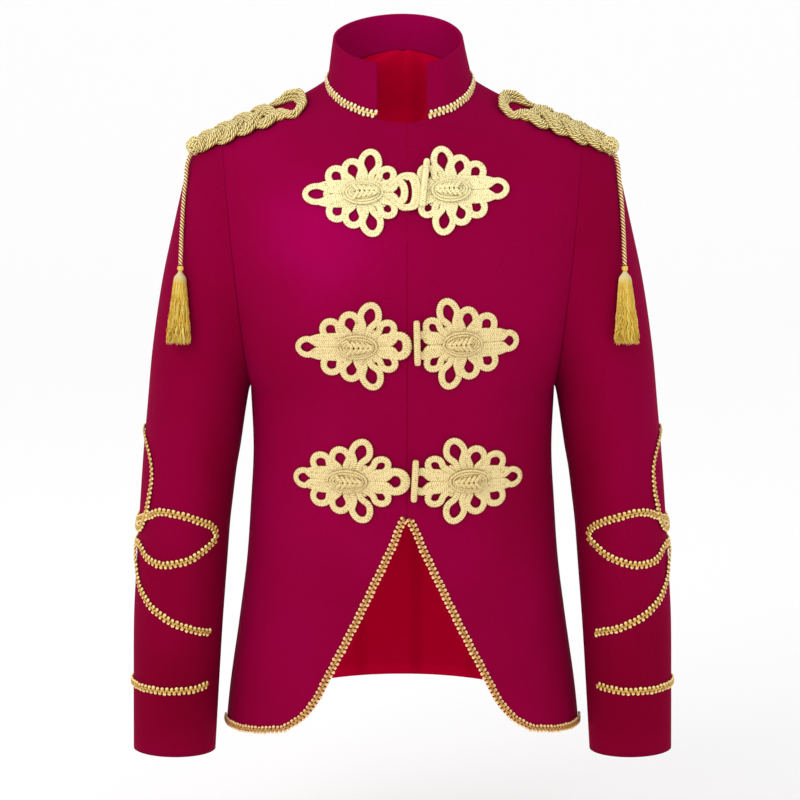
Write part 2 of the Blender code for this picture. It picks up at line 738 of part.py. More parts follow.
def braid(name, surface, path, spacing, width=BRAID_WIDTH, gap=TRIM_GAP):
    """A flat braid along a path on the cloth; a fourth number lifts it over an earlier pass."""
    stations = spaced_path(path, spacing)
    lifts = stations[:, 3] if stations.shape[1] > 3 else np.zeros(len(stations))
    seats = [surface.nearest(p[:3]) for p in stations]
    places = np.array([seat[0] for seat in seats])
    normals = np.array([seat[1] for seat in seats])
    ways = np.gradient(places, axis=0)
    ways /= np.linalg.norm(ways, axis=1, keepdims=True)
    across = np.cross(ways, normals)
    grid, out = [], []
    for place, way, normal, lift in zip(places, across, normals, lifts):
        row = []
        for share in (-0.5, 0.5):
            seat, up = surface.nearest(place + way * width * share)
            row.append(seat + normal * lift * (BRAID_THICK + TRIM_GAP))
        grid.append(row)
        out.append([normal, normal])
    grid = np.array(grid)
    shell(name, grid, np.array(out), grid_faces(*grid.shape[:2]), gap + BRAID_THICK, gap,
          gold(name))


def make_collar_braids():
    """Braid round the foot of the collar, one length on each side of the front opening."""
    surface = Surface([collar_grid(64, 6)])
    first = math.asin(COLLAR_END_X / NECK_HALF_WIDTH)
    for name, side in SIDES.items():
        path = []
        for share in np.linspace(0, 1, 8):
            angle = side * (first + (math.pi - 0.02 - first) * share)
            low = collar_point(angle, 0.0, angle)
            high = collar_point(angle, 1.0, angle)
            path.append(low + (high - low) / np.linalg.norm(high - low) * (BRAID_WIDTH / 2 + 0.0002))
        braid("collar_braid_" + name, surface, path, 0.013, gap=ROUND_TRIM_GAP)


def make_hem_braids(surface):
    """Braid along the hem from the side seam, round the corner and up the cutaway."""
    for name, side in SIDES.items():
        fine = front_rows(side, 48, 4)
        hem = fine[0][::-1]
        cut = fine[1:(len(CUTAWAY) - 1) * 4 + 1, 0]
        edge = np.vstack([hem, cut]) * [side, 1, 1]
        steps = np.linalg.norm(np.diff(edge, axis=0), axis=1)
        lengths = np.concatenate([[0], np.cumsum(steps)])
        marks = np.linspace(0.0006, lengths[-1] - 0.0008, 30)
        middle = np.array([[np.interp(m, lengths, edge[:, k]) for k in range(3)] for m in marks])
        path = []
        for place, way in zip(middle, np.gradient(middle, axis=0)):
            _, normal = surface.nearest(place)
            inward = np.cross(way, normal) * side
            path.append(place + inward / np.linalg.norm(inward) * (BRAID_WIDTH / 2 + 0.0002))
        braid("hem_braid_" + name, surface, path, 0.012)


def make_sleeve_braids():
    """The knot of braid above each cuff, its two tails, and the straight braid on the cuff."""
    knot = [tuple(row) for row in SCROLL]
    mirrored_knot = [(ring, -around, 0.0) for ring, around, _ in reversed(SCROLL[:-1])]
    route = knot + mirrored_knot
    for name, side in SIDES.items():
        surface = Surface([closed_sleeve(side, len(SLEEVE) - 1)])
        sign = np.array([side, 1, 1])
        path = [tuple(sleeve_point(ring, around) * sign) + (lift,) for ring, around, lift in route]
        braid("sleeve_scroll_" + name, surface, path, 0.0125, BRAID_WIDTH * 0.9, ROUND_TRIM_GAP)
        turns = np.linspace(CUFF_BRAID_FROM, CUFF_BRAID_TO, 12)
        cuff = [CUFF_BRAID_RING - CUFF_BRAID_RISE * (turn / CUFF_BRAID_TO) ** 4 for turn in turns]
        path = [sleeve_point(ring, turn) * sign for ring, turn in zip(cuff, turns)]
        braid("cuff_braid_" + name, surface, path, 0.012, gap=ROUND_TRIM_GAP)


def ellipse(out, up, half_out, half_up, count, first=-1.0):
    """Corners of an ellipse in the frog's own plane, none of them nearer the closure than first."""
    corners = []
    for i in range(count):
        angle = 2 * math.pi * (i + 0.5) / count
        corners.append((max(out + half_out * math.cos(angle), first), up + half_up * math.sin(angle)))
    return corners


def inside(point, corners):
    """Whether a flat point lies inside a closed outline."""
    found = False
    for (x1, y1), (x2, y2) in zip(corners, corners[1:] + corners[:1]):
        if (y1 > point[1]) != (y2 > point[1]):
            if point[0] < x1 + (point[1] - y1) / (y2 - y1) * (x2 - x1):
                found = not found
    return found


def frog_sheet(which, first, right):
    """Flat points and triangles of one half of a frog: bands of cord round open holes."""
    below = [row[:3] + (-row[3],) + row[4:] for row in PAIRED_LOOPS]
    loops = [TIP_LOOP, *PAIRED_LOOPS, *below, END_LOOP]
    whole = [FROG_BODY, FROG_CLOSURE] if right else [FROG_BODY]
    discs = [ellipse(row[which], row[3], row[4] + row[6], row[5] + row[6], 11, first)
             for row in loops + whole]
    holes = [ellipse(row[which], row[3], row[4], row[5], 7)
             for row in loops if row[which] - row[4] > first + 0.002]
    knot_out = KNOT[which]
    knot = ellipse(knot_out, 0, KNOT[4], KNOT[5], 10)
    ridge = [(knot_out + KNOT[4] * share, 0.0) for share in (-0.5, 0.0, 0.5)]
    outlines = [thin_corners(disc) for disc in discs] + holes + [knot]
    points = [corner for outline in outlines for corner in outline] + ridge
    edges, start = [], 0
    for outline in outlines:
        count = len(outline)
        edges += [(start + i, start + (i + 1) % count) for i in range(count)]
        start += count
    made = delaunay_2d_cdt([Vector(p) for p in points], edges, [], 0, 1e-5)
    flat, triangles = [tuple(p) for p in made[0]], []
    for face in made[2]:
        centre = np.mean([flat[i] for i in face], axis=0)
        if any(inside(centre, disc) for disc in discs):
            if not any(inside(centre, hole) for hole in holes):
                triangles.append(tuple(face))
    return thinned(flat, triangles, knot_out)


def thin_corners(corners):
    """The outline without the corners that lie between two others on a cut edge."""
    kept = []
    for i, corner in enumerate(corners):
        before, after = corners[i - 1], corners[(i + 1) % len(corners)]
        if not before[0] == corner[0] == after[0]:
            kept.append(corner)
    return kept


def thinned(flat, triangles, knot_out):
    """The same sheet without the inner points that only the overlap of two bands made."""
    mesh = bmesh.new()
    corners = [mesh.verts.new((x, y, 0)) for x, y in flat]
    for face in triangles:
        mesh.faces.new([corners[i] for i in face])
    loose = [v for v in mesh.verts if not v.link_faces]
    bmesh.ops.delete(mesh, geom=loose, context="VERTS")
    bmesh.ops.dissolve_degenerate(mesh, dist=0.0004, edges=mesh.edges[:])
    inner = [v for v in mesh.verts if not v.is_boundary and knot_share(knot_out, *v.co[:2]) > 1.1]
    bmesh.ops.dissolve_verts(mesh, verts=inner)
    bmesh.ops.triangulate(mesh, faces=mesh.faces[:])
    mesh.normal_update()
    if sum(face.normal.z * face.calc_area() for face in mesh.faces) < 0:
        bmesh.ops.reverse_faces(mesh, faces=mesh.faces[:])
    mesh.verts.index_update()
    points = [(v.co.x, v.co.y) for v in mesh.verts]
    faces = [tuple(v.index for v in face.verts) for face in mesh.faces]
    mesh.free()
    return points, faces


def knot_share(knot_out, out, up):
    """How far a flat point lies from the middle of the woven knot: 1 on its rim."""
    return ((out - knot_out) / KNOT[4]) ** 2 + (up / KNOT[5]) ** 2


def make_frogs(surface):
    """Three pairs of frogs: cord loops round a raised knot, with a toggle at each closure."""
    for which, (frog, x, z, turn, catch, start, *toggle) in enumerate(FROGS):
        lean = math.radians(turn)
        for name, side in SIDES.items():
            flat, faces = frog_sheet(which, -catch if side < 0 else start, side < 0)
            points, normals, heights = [], [], []
            for out, up in flat:
                across = side * out * math.cos(lean) - up * math.sin(lean)
                rise = side * out * math.sin(lean) + up * math.cos(lean)
                place, normal = surface.from_front(x + across, z + rise)
                points.append(place)
                normals.append(normal)
                crown = math.sqrt(max(0.0, 1 - knot_share(KNOT[which], out, up)))
                heights.append(TRIM_GAP + FROG_THICK + KNOT_RISE * crown)
            if side < 0:
                faces = [turned(face) for face in faces]
            shell(f"frog_{frog}_{name}", points, normals, faces, heights, TRIM_GAP,
                  gold(f"frog_{frog}_{name}"))
        make_toggle(frog, x, z, surface, *toggle)


def make_toggle(frog, x, z, surface, toggle_x, toggle_z, lean, half):
    """The bar that the right half's loop is hooked over."""
    points = []
    for share in (-1, -0.5, 0, 0.5, 1):
        place, normal = surface.from_front(x + toggle_x + half * share * math.sin(math.radians(lean)),
                                           z + toggle_z + half * share)
        points.append(place + normal * (TRIM_GAP + FROG_THICK + TOGGLE_GAP + TOGGLE_RADIUS))
    tube("toggle_" + frog, points, TOGGLE_RADIUS, 2)


def tube(name, points, radius, resolution):
    curve = bpy.data.curves.new(name, "CURVE")
    curve.dimensions = "3D"
    curve.bevel_depth = radius
    curve.bevel_resolution = resolution
    curve.use_fill_caps = True
    spline = curve.splines.new("POLY")
    spline.points.add(len(points) - 1)
    for point, place in zip(spline.points, points):
        point.co = (*place, 1)
    curve.materials.append(gold(name))
    obj = bpy.data.objects.new(name, curve)
    jacket.objects.link(obj)
    return obj


def shoulder_line():
    """The ridge from the neck over the armhole seam and down the sleeve's head."""
    ridge = bezier(yoke_section(1.0, -1), np.linspace(0, 1, 20))
    head = np.array([sleeve_point(ring, 0) for ring in np.linspace(0.1, 4, 20)])
    line = np.vstack([ridge, head])
    lengths = np.concatenate([[0], np.cumsum(np.linalg.norm(np.diff(line, axis=0), axis=1))])
    start = np.interp(EPAULETTE_START, line[:, 0], lengths)

    def at(distance):
        mark = start + distance
        here = np.array([np.interp(mark, lengths, line[:, k]) for k in range(3)])
        ahead = np.array([np.interp(mark + 0.006, lengths, line[:, k]) for k in range(3)])
        behind = np.array([np.interp(mark - 0.006, lengths, line[:, k]) for k in range(3)])
        way = (ahead - behind) / np.linalg.norm(ahead - behind)
        return here, way, np.array([-way[2], 0, way[0]])

    return at


def make_epaulettes():
    """Plaited cords from near the collar to a round knot over the sleeve's head."""
    at = shoulder_line()
    stations, strands = 26, 7

    def keep(i, j):
        return not (3 <= i <= 7 and 2 <= j <= 3)

    faces = grid_faces(stations, strands, keep=keep)
    for name, side in SIDES.items():
        sign = np.array([side, 1, 1])
        back = leaned(mirrored(back_half(40, 3)[:, ::-1], side))
        surface = Surface([front_grid(side, 40, 3), back, closed_sleeve(side, 6.0)])
        points, normals, heights = [], [], []
        for i in range(stations):
            share = i / (stations - 1)
            half_width, forward = epaulette_at(share)
            here, way, up = at(share * EPAULETTE_LENGTH)
            phase = 2 * math.pi * share * EPAULETTE_LENGTH / PLAIT_PITCH
            shares = np.linspace(-1, 1, strands)
            places = EPAULETTE_FORWARD + forward + half_width * shares
            places[np.argmin(np.abs(places))] = 0.0
            for across, y in zip(shares, places):
                place, normal = surface.along((here + [0, y, 0] + up * 0.08) * sign, -up * sign)
                weave = 0.5 + 0.5 * math.cos(phase + (math.pi if abs(across) > 0.4 else 0))
                crown = math.sqrt(max(0.0, 1 - across * across))
                points.append(place)
                normals.append(normal if np.dot(normal, up * sign) > 0 else -normal)
                heights.append(EPAULETTE_THICK + EPAULETTE_RISE * crown * (0.55 + 0.45 * weave))
        sheet = faces if side < 0 else [turned(face) for face in faces]
        shell("epaulette_" + name, points, normals, sheet, EPAULETTE_GAP + np.array(heights),
              EPAULETTE_GAP, gold("epaulette_" + name))


def make_cords_and_tassels():
    for name, side in SIDES.items():
        sign = np.array([side, 1, 1])
        route = np.vstack([CORD_ROOT, spaced_path(np.array(CORD_ROUTE), CORD_RADIUS * 5)])
        tube("epaulette_cord_" + name, route * sign, CORD_RADIUS, 2)
        way = Vector(TASSEL_WAY).normalized()
        top = Vector(CORD_ROUTE[-1]) + way * TASSEL_GAP
        make_tassel("tassel_" + name, Vector(top * Vector(sign)), Vector(way * Vector(sign)))


def make_tassel(name, top, way):
    """A wrapped head whose underside carries a skirt of separate strands, lying on the sleeve."""
    mesh = bmesh.new()
    rings = []
    for radius, drop in TASSEL_PROFILE:
        ring = []
        for i in range(TASSEL_SEGMENTS):
            angle = 2 * math.pi * i / TASSEL_SEGMENTS
            ring.append(mesh.verts.new((radius * math.cos(angle), radius * math.sin(angle), drop)))
        rings.append(ring)
    mesh.faces.new(rings[0])
    for above, below in zip(rings, rings[1:]):
        for i in range(TASSEL_SEGMENTS):
            j = (i + 1) % TASSEL_SEGMENTS
            mesh.faces.new((above[i], below[i], below[j], above[j]))
    inner = [mesh.verts.new((v.co.x * 0.45, v.co.y * 0.45, v.co.z)) for v in rings[-1]]
    centre = mesh.verts.new((0, 0, TASSEL_PROFILE[-1][1]))
    roots = []
    for i in range(TASSEL_SEGMENTS):
        j = (i + 1) % TASSEL_SEGMENTS
        roots.append(mesh.faces.new((rings[-1][i], inner[i], inner[j], rings[-1][j])))
        roots.append(mesh.faces.new((inner[i], centre, inner[j])))
    mesh.normal_update()
    bmesh.ops.inset_individual(mesh, faces=roots, thickness=0.00028)
    skirt = TASSEL_LENGTH + TASSEL_PROFILE[-1][1]
    for drop, spread in ((0.35, 1.45), (0.65, 1.35)):
        made = bmesh.ops.extrude_discrete_faces(mesh, faces=roots)
        roots = made["faces"]
        for face in roots:
            middle = face.calc_center_median()
            for vert in face.verts:
                vert.co.x = middle.x * spread + (vert.co.x - middle.x) * 1.25
                vert.co.y = middle.y * spread + (vert.co.y - middle.y) * 1.25
                vert.co.z -= skirt * drop
    turn = Vector((0, 0, -1)).rotation_difference(way)
    for vert in mesh.verts:
        vert.co = top + turn @ vert.co
    bmesh.ops.recalc_face_normals(mesh, faces=mesh.faces[:])
    data = bpy.data.meshes.new(name)
    mesh.to_mesh(data)
    mesh.free()
    finished(name, data, gold(name))


for old in list(bpy.data.objects):
    bpy.data.objects.remove(old)
jacket = bpy.data.collections.new("velvet_parade_jacket")
bpy.context.scene.collection.children.link(jacket)

make_fronts()
make_back("back", 0.0, CLOTH, velvet("back"))
make_back("back_lining", CLOTH + LINING_GAP, LINING, material("lining", (0.34, 0.0, 0.02), 0.5))
make_collar()
make_sleeves()
chest = Surface([front_grid(-1, 60, 4), front_grid(1, 60, 4)])
make_collar_braids()
make_hem_braids(chest)
make_sleeve_braids()
make_frogs(chest)
make_epaulettes()
make_cords_and_tassels()
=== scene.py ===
"""Looks of the velvet parade jacket: fine cloth, braid, frogs, plaited epaulettes and tassels.

Metres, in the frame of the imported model. Left and right are the wearer's: left is +X.
"""

import math

import bpy
import numpy as np
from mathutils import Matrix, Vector
from mathutils.bvhtree import BVHTree


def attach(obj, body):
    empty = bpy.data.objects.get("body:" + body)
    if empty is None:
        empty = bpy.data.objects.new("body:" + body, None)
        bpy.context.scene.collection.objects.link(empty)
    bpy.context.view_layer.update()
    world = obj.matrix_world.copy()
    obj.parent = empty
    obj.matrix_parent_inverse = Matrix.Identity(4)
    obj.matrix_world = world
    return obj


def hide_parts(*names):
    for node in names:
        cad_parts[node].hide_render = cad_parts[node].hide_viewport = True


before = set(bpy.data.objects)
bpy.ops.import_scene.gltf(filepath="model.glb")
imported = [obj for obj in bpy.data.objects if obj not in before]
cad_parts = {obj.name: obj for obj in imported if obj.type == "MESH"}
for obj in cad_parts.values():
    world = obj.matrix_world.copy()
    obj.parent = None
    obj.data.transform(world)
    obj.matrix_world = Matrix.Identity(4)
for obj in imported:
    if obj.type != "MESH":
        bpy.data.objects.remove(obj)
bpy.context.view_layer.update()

SIDES = {"right": -1, "left": 1}

# Cloth
CLOTH = 0.002
LINING = 0.001
COLLAR_CLOTH = 0.0025
SEAM_GAP = 0.0004
ARMHOLE_GAP = 0.0008
TRIM_GAP = 0.0005
LINING_GAP = 0.0004

# Heights above the side neck point
HEM_Z = -0.6865
CUT_CORNER_Z = -0.6760
BACK_HEM_Z = -0.6680
CUT_TOP_Z = -0.446
ARMPIT_Z = -0.323
NOTCH_Z = -0.0433
BACK_NECK_Z = 0.0257
NECK_SIDE_Z = -0.0055

# The line where the two fronts meet, and how much of the armhole the front rows take below the neck
FRONT_LINE_X = 0.0046
NOTCH_STEP = 0.80
BACK_NECK_STEP = 0.86

# Neck opening and stand collar, and how far the neck leans to the wearer's right
NECK_HALF_WIDTH = 0.0757
NECK_FRONT = 0.072
NECK_BACK = 0.063
NECK_SLOPE_FRONT = 0.495
COLLAR_GAP = 0.0001
COLLAR_END_X = 0.026
COLLAR_TOP_HALF_WIDTH = 0.0676
COLLAR_TOP_FRONT = 0.062
COLLAR_TOP_BACK = 0.060
COLLAR_TOP_Z = 0.040
COLLAR_TOP_SLOPE = 0.40
LEAN = -0.0055
LEAN_FROM_Z = -0.050
LEAN_OVER = 0.100
LEAN_FULL_X = 0.070

# Armhole: top and underarm points in the XZ plane, and its reach to the front and back
SHOULDER_TIP = (0.1874, -0.0555)
UNDERARM = (0.1605, ARMPIT_Z)
ARMHOLE_FRONT = 0.074
ARMHOLE_BACK = 0.078

# Columns and rows of the panels, with so many rows in each stretch of the cutaway
WIDE = 56
CUT_STEPS = 4
FRONT_SIDE_ROWS = 16
FRONT_YOKE_ROWS = 32
FRONT_NECK_ROWS = 20
BACK_LOW_ROWS = 24
BACK_YOKE_ROWS = 24
BACK_NECK_ROWS = 20

# Round sewn edges
EDGE_ROLL = 0.0003
SEAM_OPEN = 0.0001
SLEEVE_TUCK = 0.0006

# Trims
BRAID_WIDTH = 0.0082
FROG_THICK = 0.0022
TOGGLE_RADIUS = 0.0034
TOGGLE_GAP = 0.0006
CORD_RADIUS = 0.0023

# Torso sections below the armhole: centre-front, side-seam and centre-back points, and the
# lengths of the section's handles at the centre and at the side
TORSO_COLUMNS = ("z", "side_x", "side_y", "front_y", "back_y", "centre_handle", "side_handle")
TORSO = (
    (-0.720, 0.1925, 0.004, -0.1190, 0.1200, 0.112, 0.070),
    (-0.655, 0.1862, 0.004, -0.1170, 0.1160, 0.110, 0.070),
    (-0.574, 0.1745, 0.003, -0.1130, 0.1060, 0.105, 0.068),
    (-0.511, 0.1662, 0.002, -0.1110, 0.0950, 0.102, 0.066),
    (-0.448, 0.1614, 0.001, -0.1110, 0.0900, 0.100, 0.066),
    (-0.394, 0.1582, 0.000, -0.1140, 0.0930, 0.100, 0.068),
    (-0.323, 0.1605, 0.000, -0.1210, 0.1050, 0.100, 0.072),
)

# Centre lines above the armpit, up to the neck
CENTRE_COLUMNS = ("z", "y")
CENTRE_FRONT = (
    (-0.400, -0.1135),
    (-0.323, -0.1210),
    (-0.260, -0.1240),
    (-0.200, -0.1210),
    (-0.150, -0.1130),
    (-0.100, -0.0980),
    (-0.0433, -0.0740),
    (0.0, -0.0560),
)
CENTRE_BACK = (
    (-0.400, 0.0930),
    (-0.323, 0.1050),
    (-0.260, 0.1110),
    (-0.200, 0.1120),
    (-0.140, 0.1080),
    (-0.080, 0.0980),
    (-0.030, 0.0850),
    (0.0258, 0.0630),
)

# How a row of the yoke leaves the centre and meets the armhole, from the armpit level (0)
# to the shoulder seam (1): unit directions, and handle lengths
YOKE_COLUMNS = ("step", "out_x", "out_y", "out_z", "edge_x", "edge_y", "edge_z",
                "centre_handle", "edge_handle")
YOKE = (
    (0.00, 1.00, 0.00, 0.00, 0.00, 1.00, 0.00, 0.100, 0.072),
    (0.12, 1.00, 0.00, 0.00, 0.15, 0.99, 0.00, 0.098, 0.062),
    (0.30, 1.00, 0.00, 0.00, 0.45, 0.89, 0.00, 0.090, 0.050),
    (0.50, 1.00, 0.00, 0.00, 0.75, 0.65, -0.10, 0.080, 0.045),
    (0.80, 0.99, 0.06, -0.10, 0.86, 0.28, -0.40, 0.060, 0.048),
    (0.90, 0.95, 0.12, -0.28, 0.88, 0.14, -0.43, 0.042, 0.042),
    (1.00, 0.905, 0.00, -0.425, 0.905, 0.00, -0.425, 0.036, 0.036),
)

# How steeply a row of the back falls as it leaves the centre or the neck
BACK_FALL_COLUMNS = ("step", "out_z")
BACK_FALL = (
    (0.00, 0.00),
    (0.50, 0.00),
    (0.80, -0.15),
    (0.86, -0.45),
    (0.92, -1.05),
    (0.97, -0.70),
    (1.00, -0.425),
)

# Front edge below the lowest frog, as distance out from the line where the fronts meet
CUTAWAY_COLUMNS = ("z", "out")
CUTAWAY = (
    (-0.6760, 0.1276),
    (-0.6669, 0.1134),
    (-0.6549, 0.1010),
    (-0.6427, 0.0925),
    (-0.6171, 0.0795),
    (-0.5899, 0.0657),
    (-0.5531, 0.0475),
    (-0.5130, 0.0288),
    (-0.4793, 0.0132),
    (-0.4460, 0.0000),
)
CUT_ROWS = (len(CUTAWAY) - 1) * CUT_STEPS
FRONT_SEAM = CUT_ROWS + FRONT_SIDE_ROWS

# Sleeve rings from the armhole to the cuff: outer and inner points, reach to front and back
SLEEVE_COLUMNS = ("out_x", "out_z", "in_x", "in_z", "front", "back", "mid_y")
SLEEVE = (
    (0.1874, -0.0555, 0.1605, -0.3230, 0.0740, 0.0780, 0.0000),
    (0.2063, -0.0652, 0.1626, -0.3300, 0.0745, 0.0780, 0.0000),
    (0.2212, -0.0822, 0.1642, -0.3383, 0.0745, 0.0775, 0.0000),
    (0.2290, -0.1085, 0.1660, -0.3491, 0.0740, 0.0765, 0.0000),
    (0.2399, -0.1545, 0.1688, -0.3674, 0.0730, 0.0745, -0.0005),
    (0.2527, -0.2126, 0.1720, -0.3889, 0.0715, 0.0725, -0.0010),
    (0.2634, -0.2814, 0.1765, -0.4138, 0.0690, 0.0700, -0.0020),
    (0.2699, -0.3455, 0.1802, -0.4426, 0.0665, 0.0670, -0.0030),
    (0.2748, -0.3960, 0.1837, -0.4717, 0.0640, 0.0645, -0.0040),
    (0.2796, -0.4584, 0.1870, -0.5129, 0.0610, 0.0610, -0.0060),
    (0.2836, -0.5195, 0.1899, -0.5500, 0.0575, 0.0570, -0.0100),
    (0.2864, -0.5706, 0.1926, -0.5870, 0.0535, 0.0525, -0.0150),
    (0.2872, -0.6405, 0.1962, -0.6460, 0.0470, 0.0460, -0.0220),
    (0.2876, -0.7110, 0.2002, -0.7130, 0.0400, 0.0400, -0.0280),
)

# Braid on the sleeve: place along the sleeve, counted in rings, and degrees round it from the
# outer line, plus to the front, and whether it lies on another stretch. From the end of one
# tail to the top of the knot
SCROLL = (
    (10.92, 138.0, 0.0),
    (10.82, 103.0, 0.0),
    (10.68, 76.0, 0.0),
    (10.44, 50.0, 0.0),
    (10.08, 27.0, 0.0),
    (9.76, 18.0, 1.0),
    (9.58, 4.0, 1.0),
    (9.50, -10.0, 1.0),
    (9.46, -22.0, 1.0),
    (9.47, -32.0, 0.0),
    (9.58, -49.0, 0.0),
    (9.50, -75.0, 0.0),
    (9.10, -107.0, 0.0),
    (8.65, -128.0, 0.0),
    (8.38, -138.0, 0.0),
    (8.20, -130.0, 0.0),
    (8.27, -104.0, 0.0),
    (8.45, -78.0, 0.0),
    (8.62, -60.0, 1.0),
    (8.82, -45.0, 1.0),
    (9.05, -20.0, 1.0),
    (9.18, 0.0, 1.0),
    (9.22, 15.0, 1.0),
    (9.16, 28.0, 1.0),
    (8.95, 38.0, 1.0),
    (8.65, 43.0, 1.0),
    (8.30, 45.5, 0.0),
    (7.96, 44.5, 0.0),
    (7.68, 34.0, 0.0),
    (7.50, 16.0, 0.0),
    (7.45, 0.0, 0.0),
)
CUFF_BRAID_RING = 11.97
CUFF_BRAID_RISE = 0.11
CUFF_BRAID_FROM = -139.0
CUFF_BRAID_TO = 139.0

# Frogs: name; x and z of the middle of each closure and the turn of its two halves, in degrees;
# and the toggle's x and z from the middle, its lean in degrees and half its length
FROGS = (
    ("top", 0.0051, -0.1118, 1.7, 0.0168, 0.0079, 6.0, 0.0236),
    ("middle", 0.0082, -0.2647, 1.7, 0.0063, 0.0029, -1.5, 0.0232),
    ("bottom", 0.0056, -0.4066, 0.0, 0.0067, 0.0016, 2.6, 0.0227),
)

# The holes of the cord loops of half a frog: how far out from the closure each lies on the top,
# middle and bottom frog, how far up, half its size out and up, and the width of the cord
PAIRED_LOOPS = (
    (0.0709, 0.0796, 0.0880, 0.0172, 0.0042, 0.0050, 0.0082),
    (0.0545, 0.0603, 0.0686, 0.0228, 0.0045, 0.0058, 0.0082),
    (0.0374, 0.0408, 0.0482, 0.0293, 0.0050, 0.0086, 0.0080),
    (0.0216, 0.0244, 0.0283, 0.0160, 0.0030, 0.0046, 0.0080),
)
TIP_OUT = (0.0927, 0.1029, 0.1036)
TIP_HALF_OUT = 0.0076
TIP_HALF_UP = 0.0050
TIP_BAND = 0.0064
END_HALF_UP = 0.0060
END_BAND = 0.0088
BODY_OUT = (0.0500, 0.0560, 0.0620)
BODY_HALF_OUT = 0.0375
BODY_HALF_UP = 0.0120
KNOT_OUT = (0.0450, 0.0538, 0.0615)

# Epaulette, along the shoulder from its inner end to its knot
EPAULETTE_START = 0.0980
EPAULETTE_LENGTH = 0.1385
EPAULETTE_FORWARD = -0.0135
EPAULETTE_COLUMNS = ("along", "half_width", "forward")
EPAULETTE = (
    (0.00, 0.0120, 0.000),
    (0.05, 0.0215, 0.000),
    (0.15, 0.0275, 0.000),
    (0.30, 0.0295, 0.000),
    (0.50, 0.0285, 0.000),
    (0.70, 0.0250, 0.000),
    (0.82, 0.0205, 0.000),
    (0.92, 0.0200, -0.003),
    (1.00, 0.0125, -0.004),
)

# The hanging cord's route in x, y and z, and the tassel at its end
CORD_ROUTE = (
    (0.2210, -0.0236, -0.0808),
    (0.2234, -0.0295, -0.0905),
    (0.2241, -0.0342, -0.1025),
    (0.2255, -0.0385, -0.1156),
    (0.2266, -0.0430, -0.1301),
    (0.2276, -0.0491, -0.1498),
    (0.2281, -0.0548, -0.1640),
    (0.2281, -0.0597, -0.1730),
    (0.2283, -0.0630, -0.1800),
    (0.2285, -0.0652, -0.1895),
)
CORD_ROOT = (0.2197, -0.0234, -0.0790)
TASSEL_GAP = 0.0003
TASSEL_LENGTH = 0.0830
TASSEL_WAY = (0.027, -0.215, -1.0)


def curve_through(table, columns, key):
    """A function of the key column that gives the other columns, smooth through each row."""
    data = np.array(table, float)
    place = columns.index(key)
    keys = data[:, place]
    order = np.argsort(keys)
    keys = keys[order]
    values = np.delete(data, place, axis=1)[order]
    steps = np.diff(keys)[:, None]
    rates = np.diff(values, axis=0) / steps
    slopes = np.vstack([rates[:1], (rates[:-1] * steps[1:] + rates[1:] * steps[:-1])
                        / (steps[1:] + steps[:-1]), rates[-1:]])

    def at(t):
        i = int(np.clip(np.searchsorted(keys, t) - 1, 0, len(keys) - 2))
        h = keys[i + 1] - keys[i]
        s = (t - keys[i]) / h
        return (values[i] * (1 + 2 * s) * (1 - s) ** 2 + slopes[i] * h * s * (1 - s) ** 2
                + values[i + 1] * s * s * (3 - 2 * s) + slopes[i + 1] * h * s * s * (s - 1))

    return at


def numbered(table, columns):
    """The same for a table whose rows are simply counted."""
    rows = [(i, *row) for i, row in enumerate(table)]
    return curve_through(rows, ("row", *columns), "row")


torso_at = curve_through(TORSO, TORSO_COLUMNS, "z")
centre_front_at = curve_through(CENTRE_FRONT, CENTRE_COLUMNS, "z")
centre_back_at = curve_through(CENTRE_BACK, CENTRE_COLUMNS, "z")
yoke_at = curve_through(YOKE, YOKE_COLUMNS, "step")
back_fall_at = curve_through(BACK_FALL, BACK_FALL_COLUMNS, "step")
cutaway_at = curve_through(CUTAWAY, CUTAWAY_COLUMNS, "z")
sleeve_at = numbered(SLEEVE, SLEEVE_COLUMNS)
epaulette_at = curve_through(EPAULETTE, EPAULETTE_COLUMNS, "along")


def unit(vectors):
    """The same directions at length one."""
    return vectors / np.maximum(np.linalg.norm(vectors, axis=-1, keepdims=True), 1e-12)


def lengths_along(line):
    """How far along the line each of its points lies."""
    steps = np.linalg.norm(np.diff(line[:, :3], axis=0), axis=1)
    return np.concatenate([[0], np.cumsum(steps)])


def sampled(line, lengths, marks):
    """The line's columns at these distances along it."""
    return np.array([np.interp(marks, lengths, column) for column in line.T]).T


def even(line, step):
    """The same flat or spatial line with points at even steps."""
    lengths = lengths_along(line)
    marks = np.linspace(0, lengths[-1], max(3, round(lengths[-1] / step) + 1))
    return sampled(line, lengths, marks)


def spaced_path(points, step):
    """Points at even steps along a smooth curve through the given ones."""
    at = numbered(points, "xyzw"[:len(points[0])])
    stops = np.linspace(0, len(points) - 1, 40 * len(points))
    return even(np.array([at(stop) for stop in stops]), step)


def smoothed(rows, width):
    """Each row as the mean of those around it."""
    pad = width // 2
    wide = np.pad(rows, ((pad, pad), (0, 0)), mode="edge")
    return np.array([wide[i:i + width].mean(axis=0) for i in range(len(rows))])


def smooth_step(x):
    """From 0 to 1 without a corner at either end."""
    x = np.clip(x, 0, 1)
    return x * x * (3 - 2 * x)


def lifted(seats, lifts):
    """Places on the cloth raised by these lifts along the ways out there, and those ways."""
    places, ups = (np.array(part) for part in zip(*seats))
    return places + ups * np.reshape(lifts, (-1, 1)), ups


def once_round(count):
    """Angles at even steps in one turn."""
    return 2 * np.pi * np.arange(count) / count


def bezier(corners, t):
    """Points of the curve with these four corners, at shares from 0 to 1."""
    a, b, c, d = corners
    t = np.asarray(t, float)[..., None]
    return a * (1 - t) ** 3 + 3 * b * t * (1 - t) ** 2 + 3 * c * t * t * (1 - t) + d * t ** 3


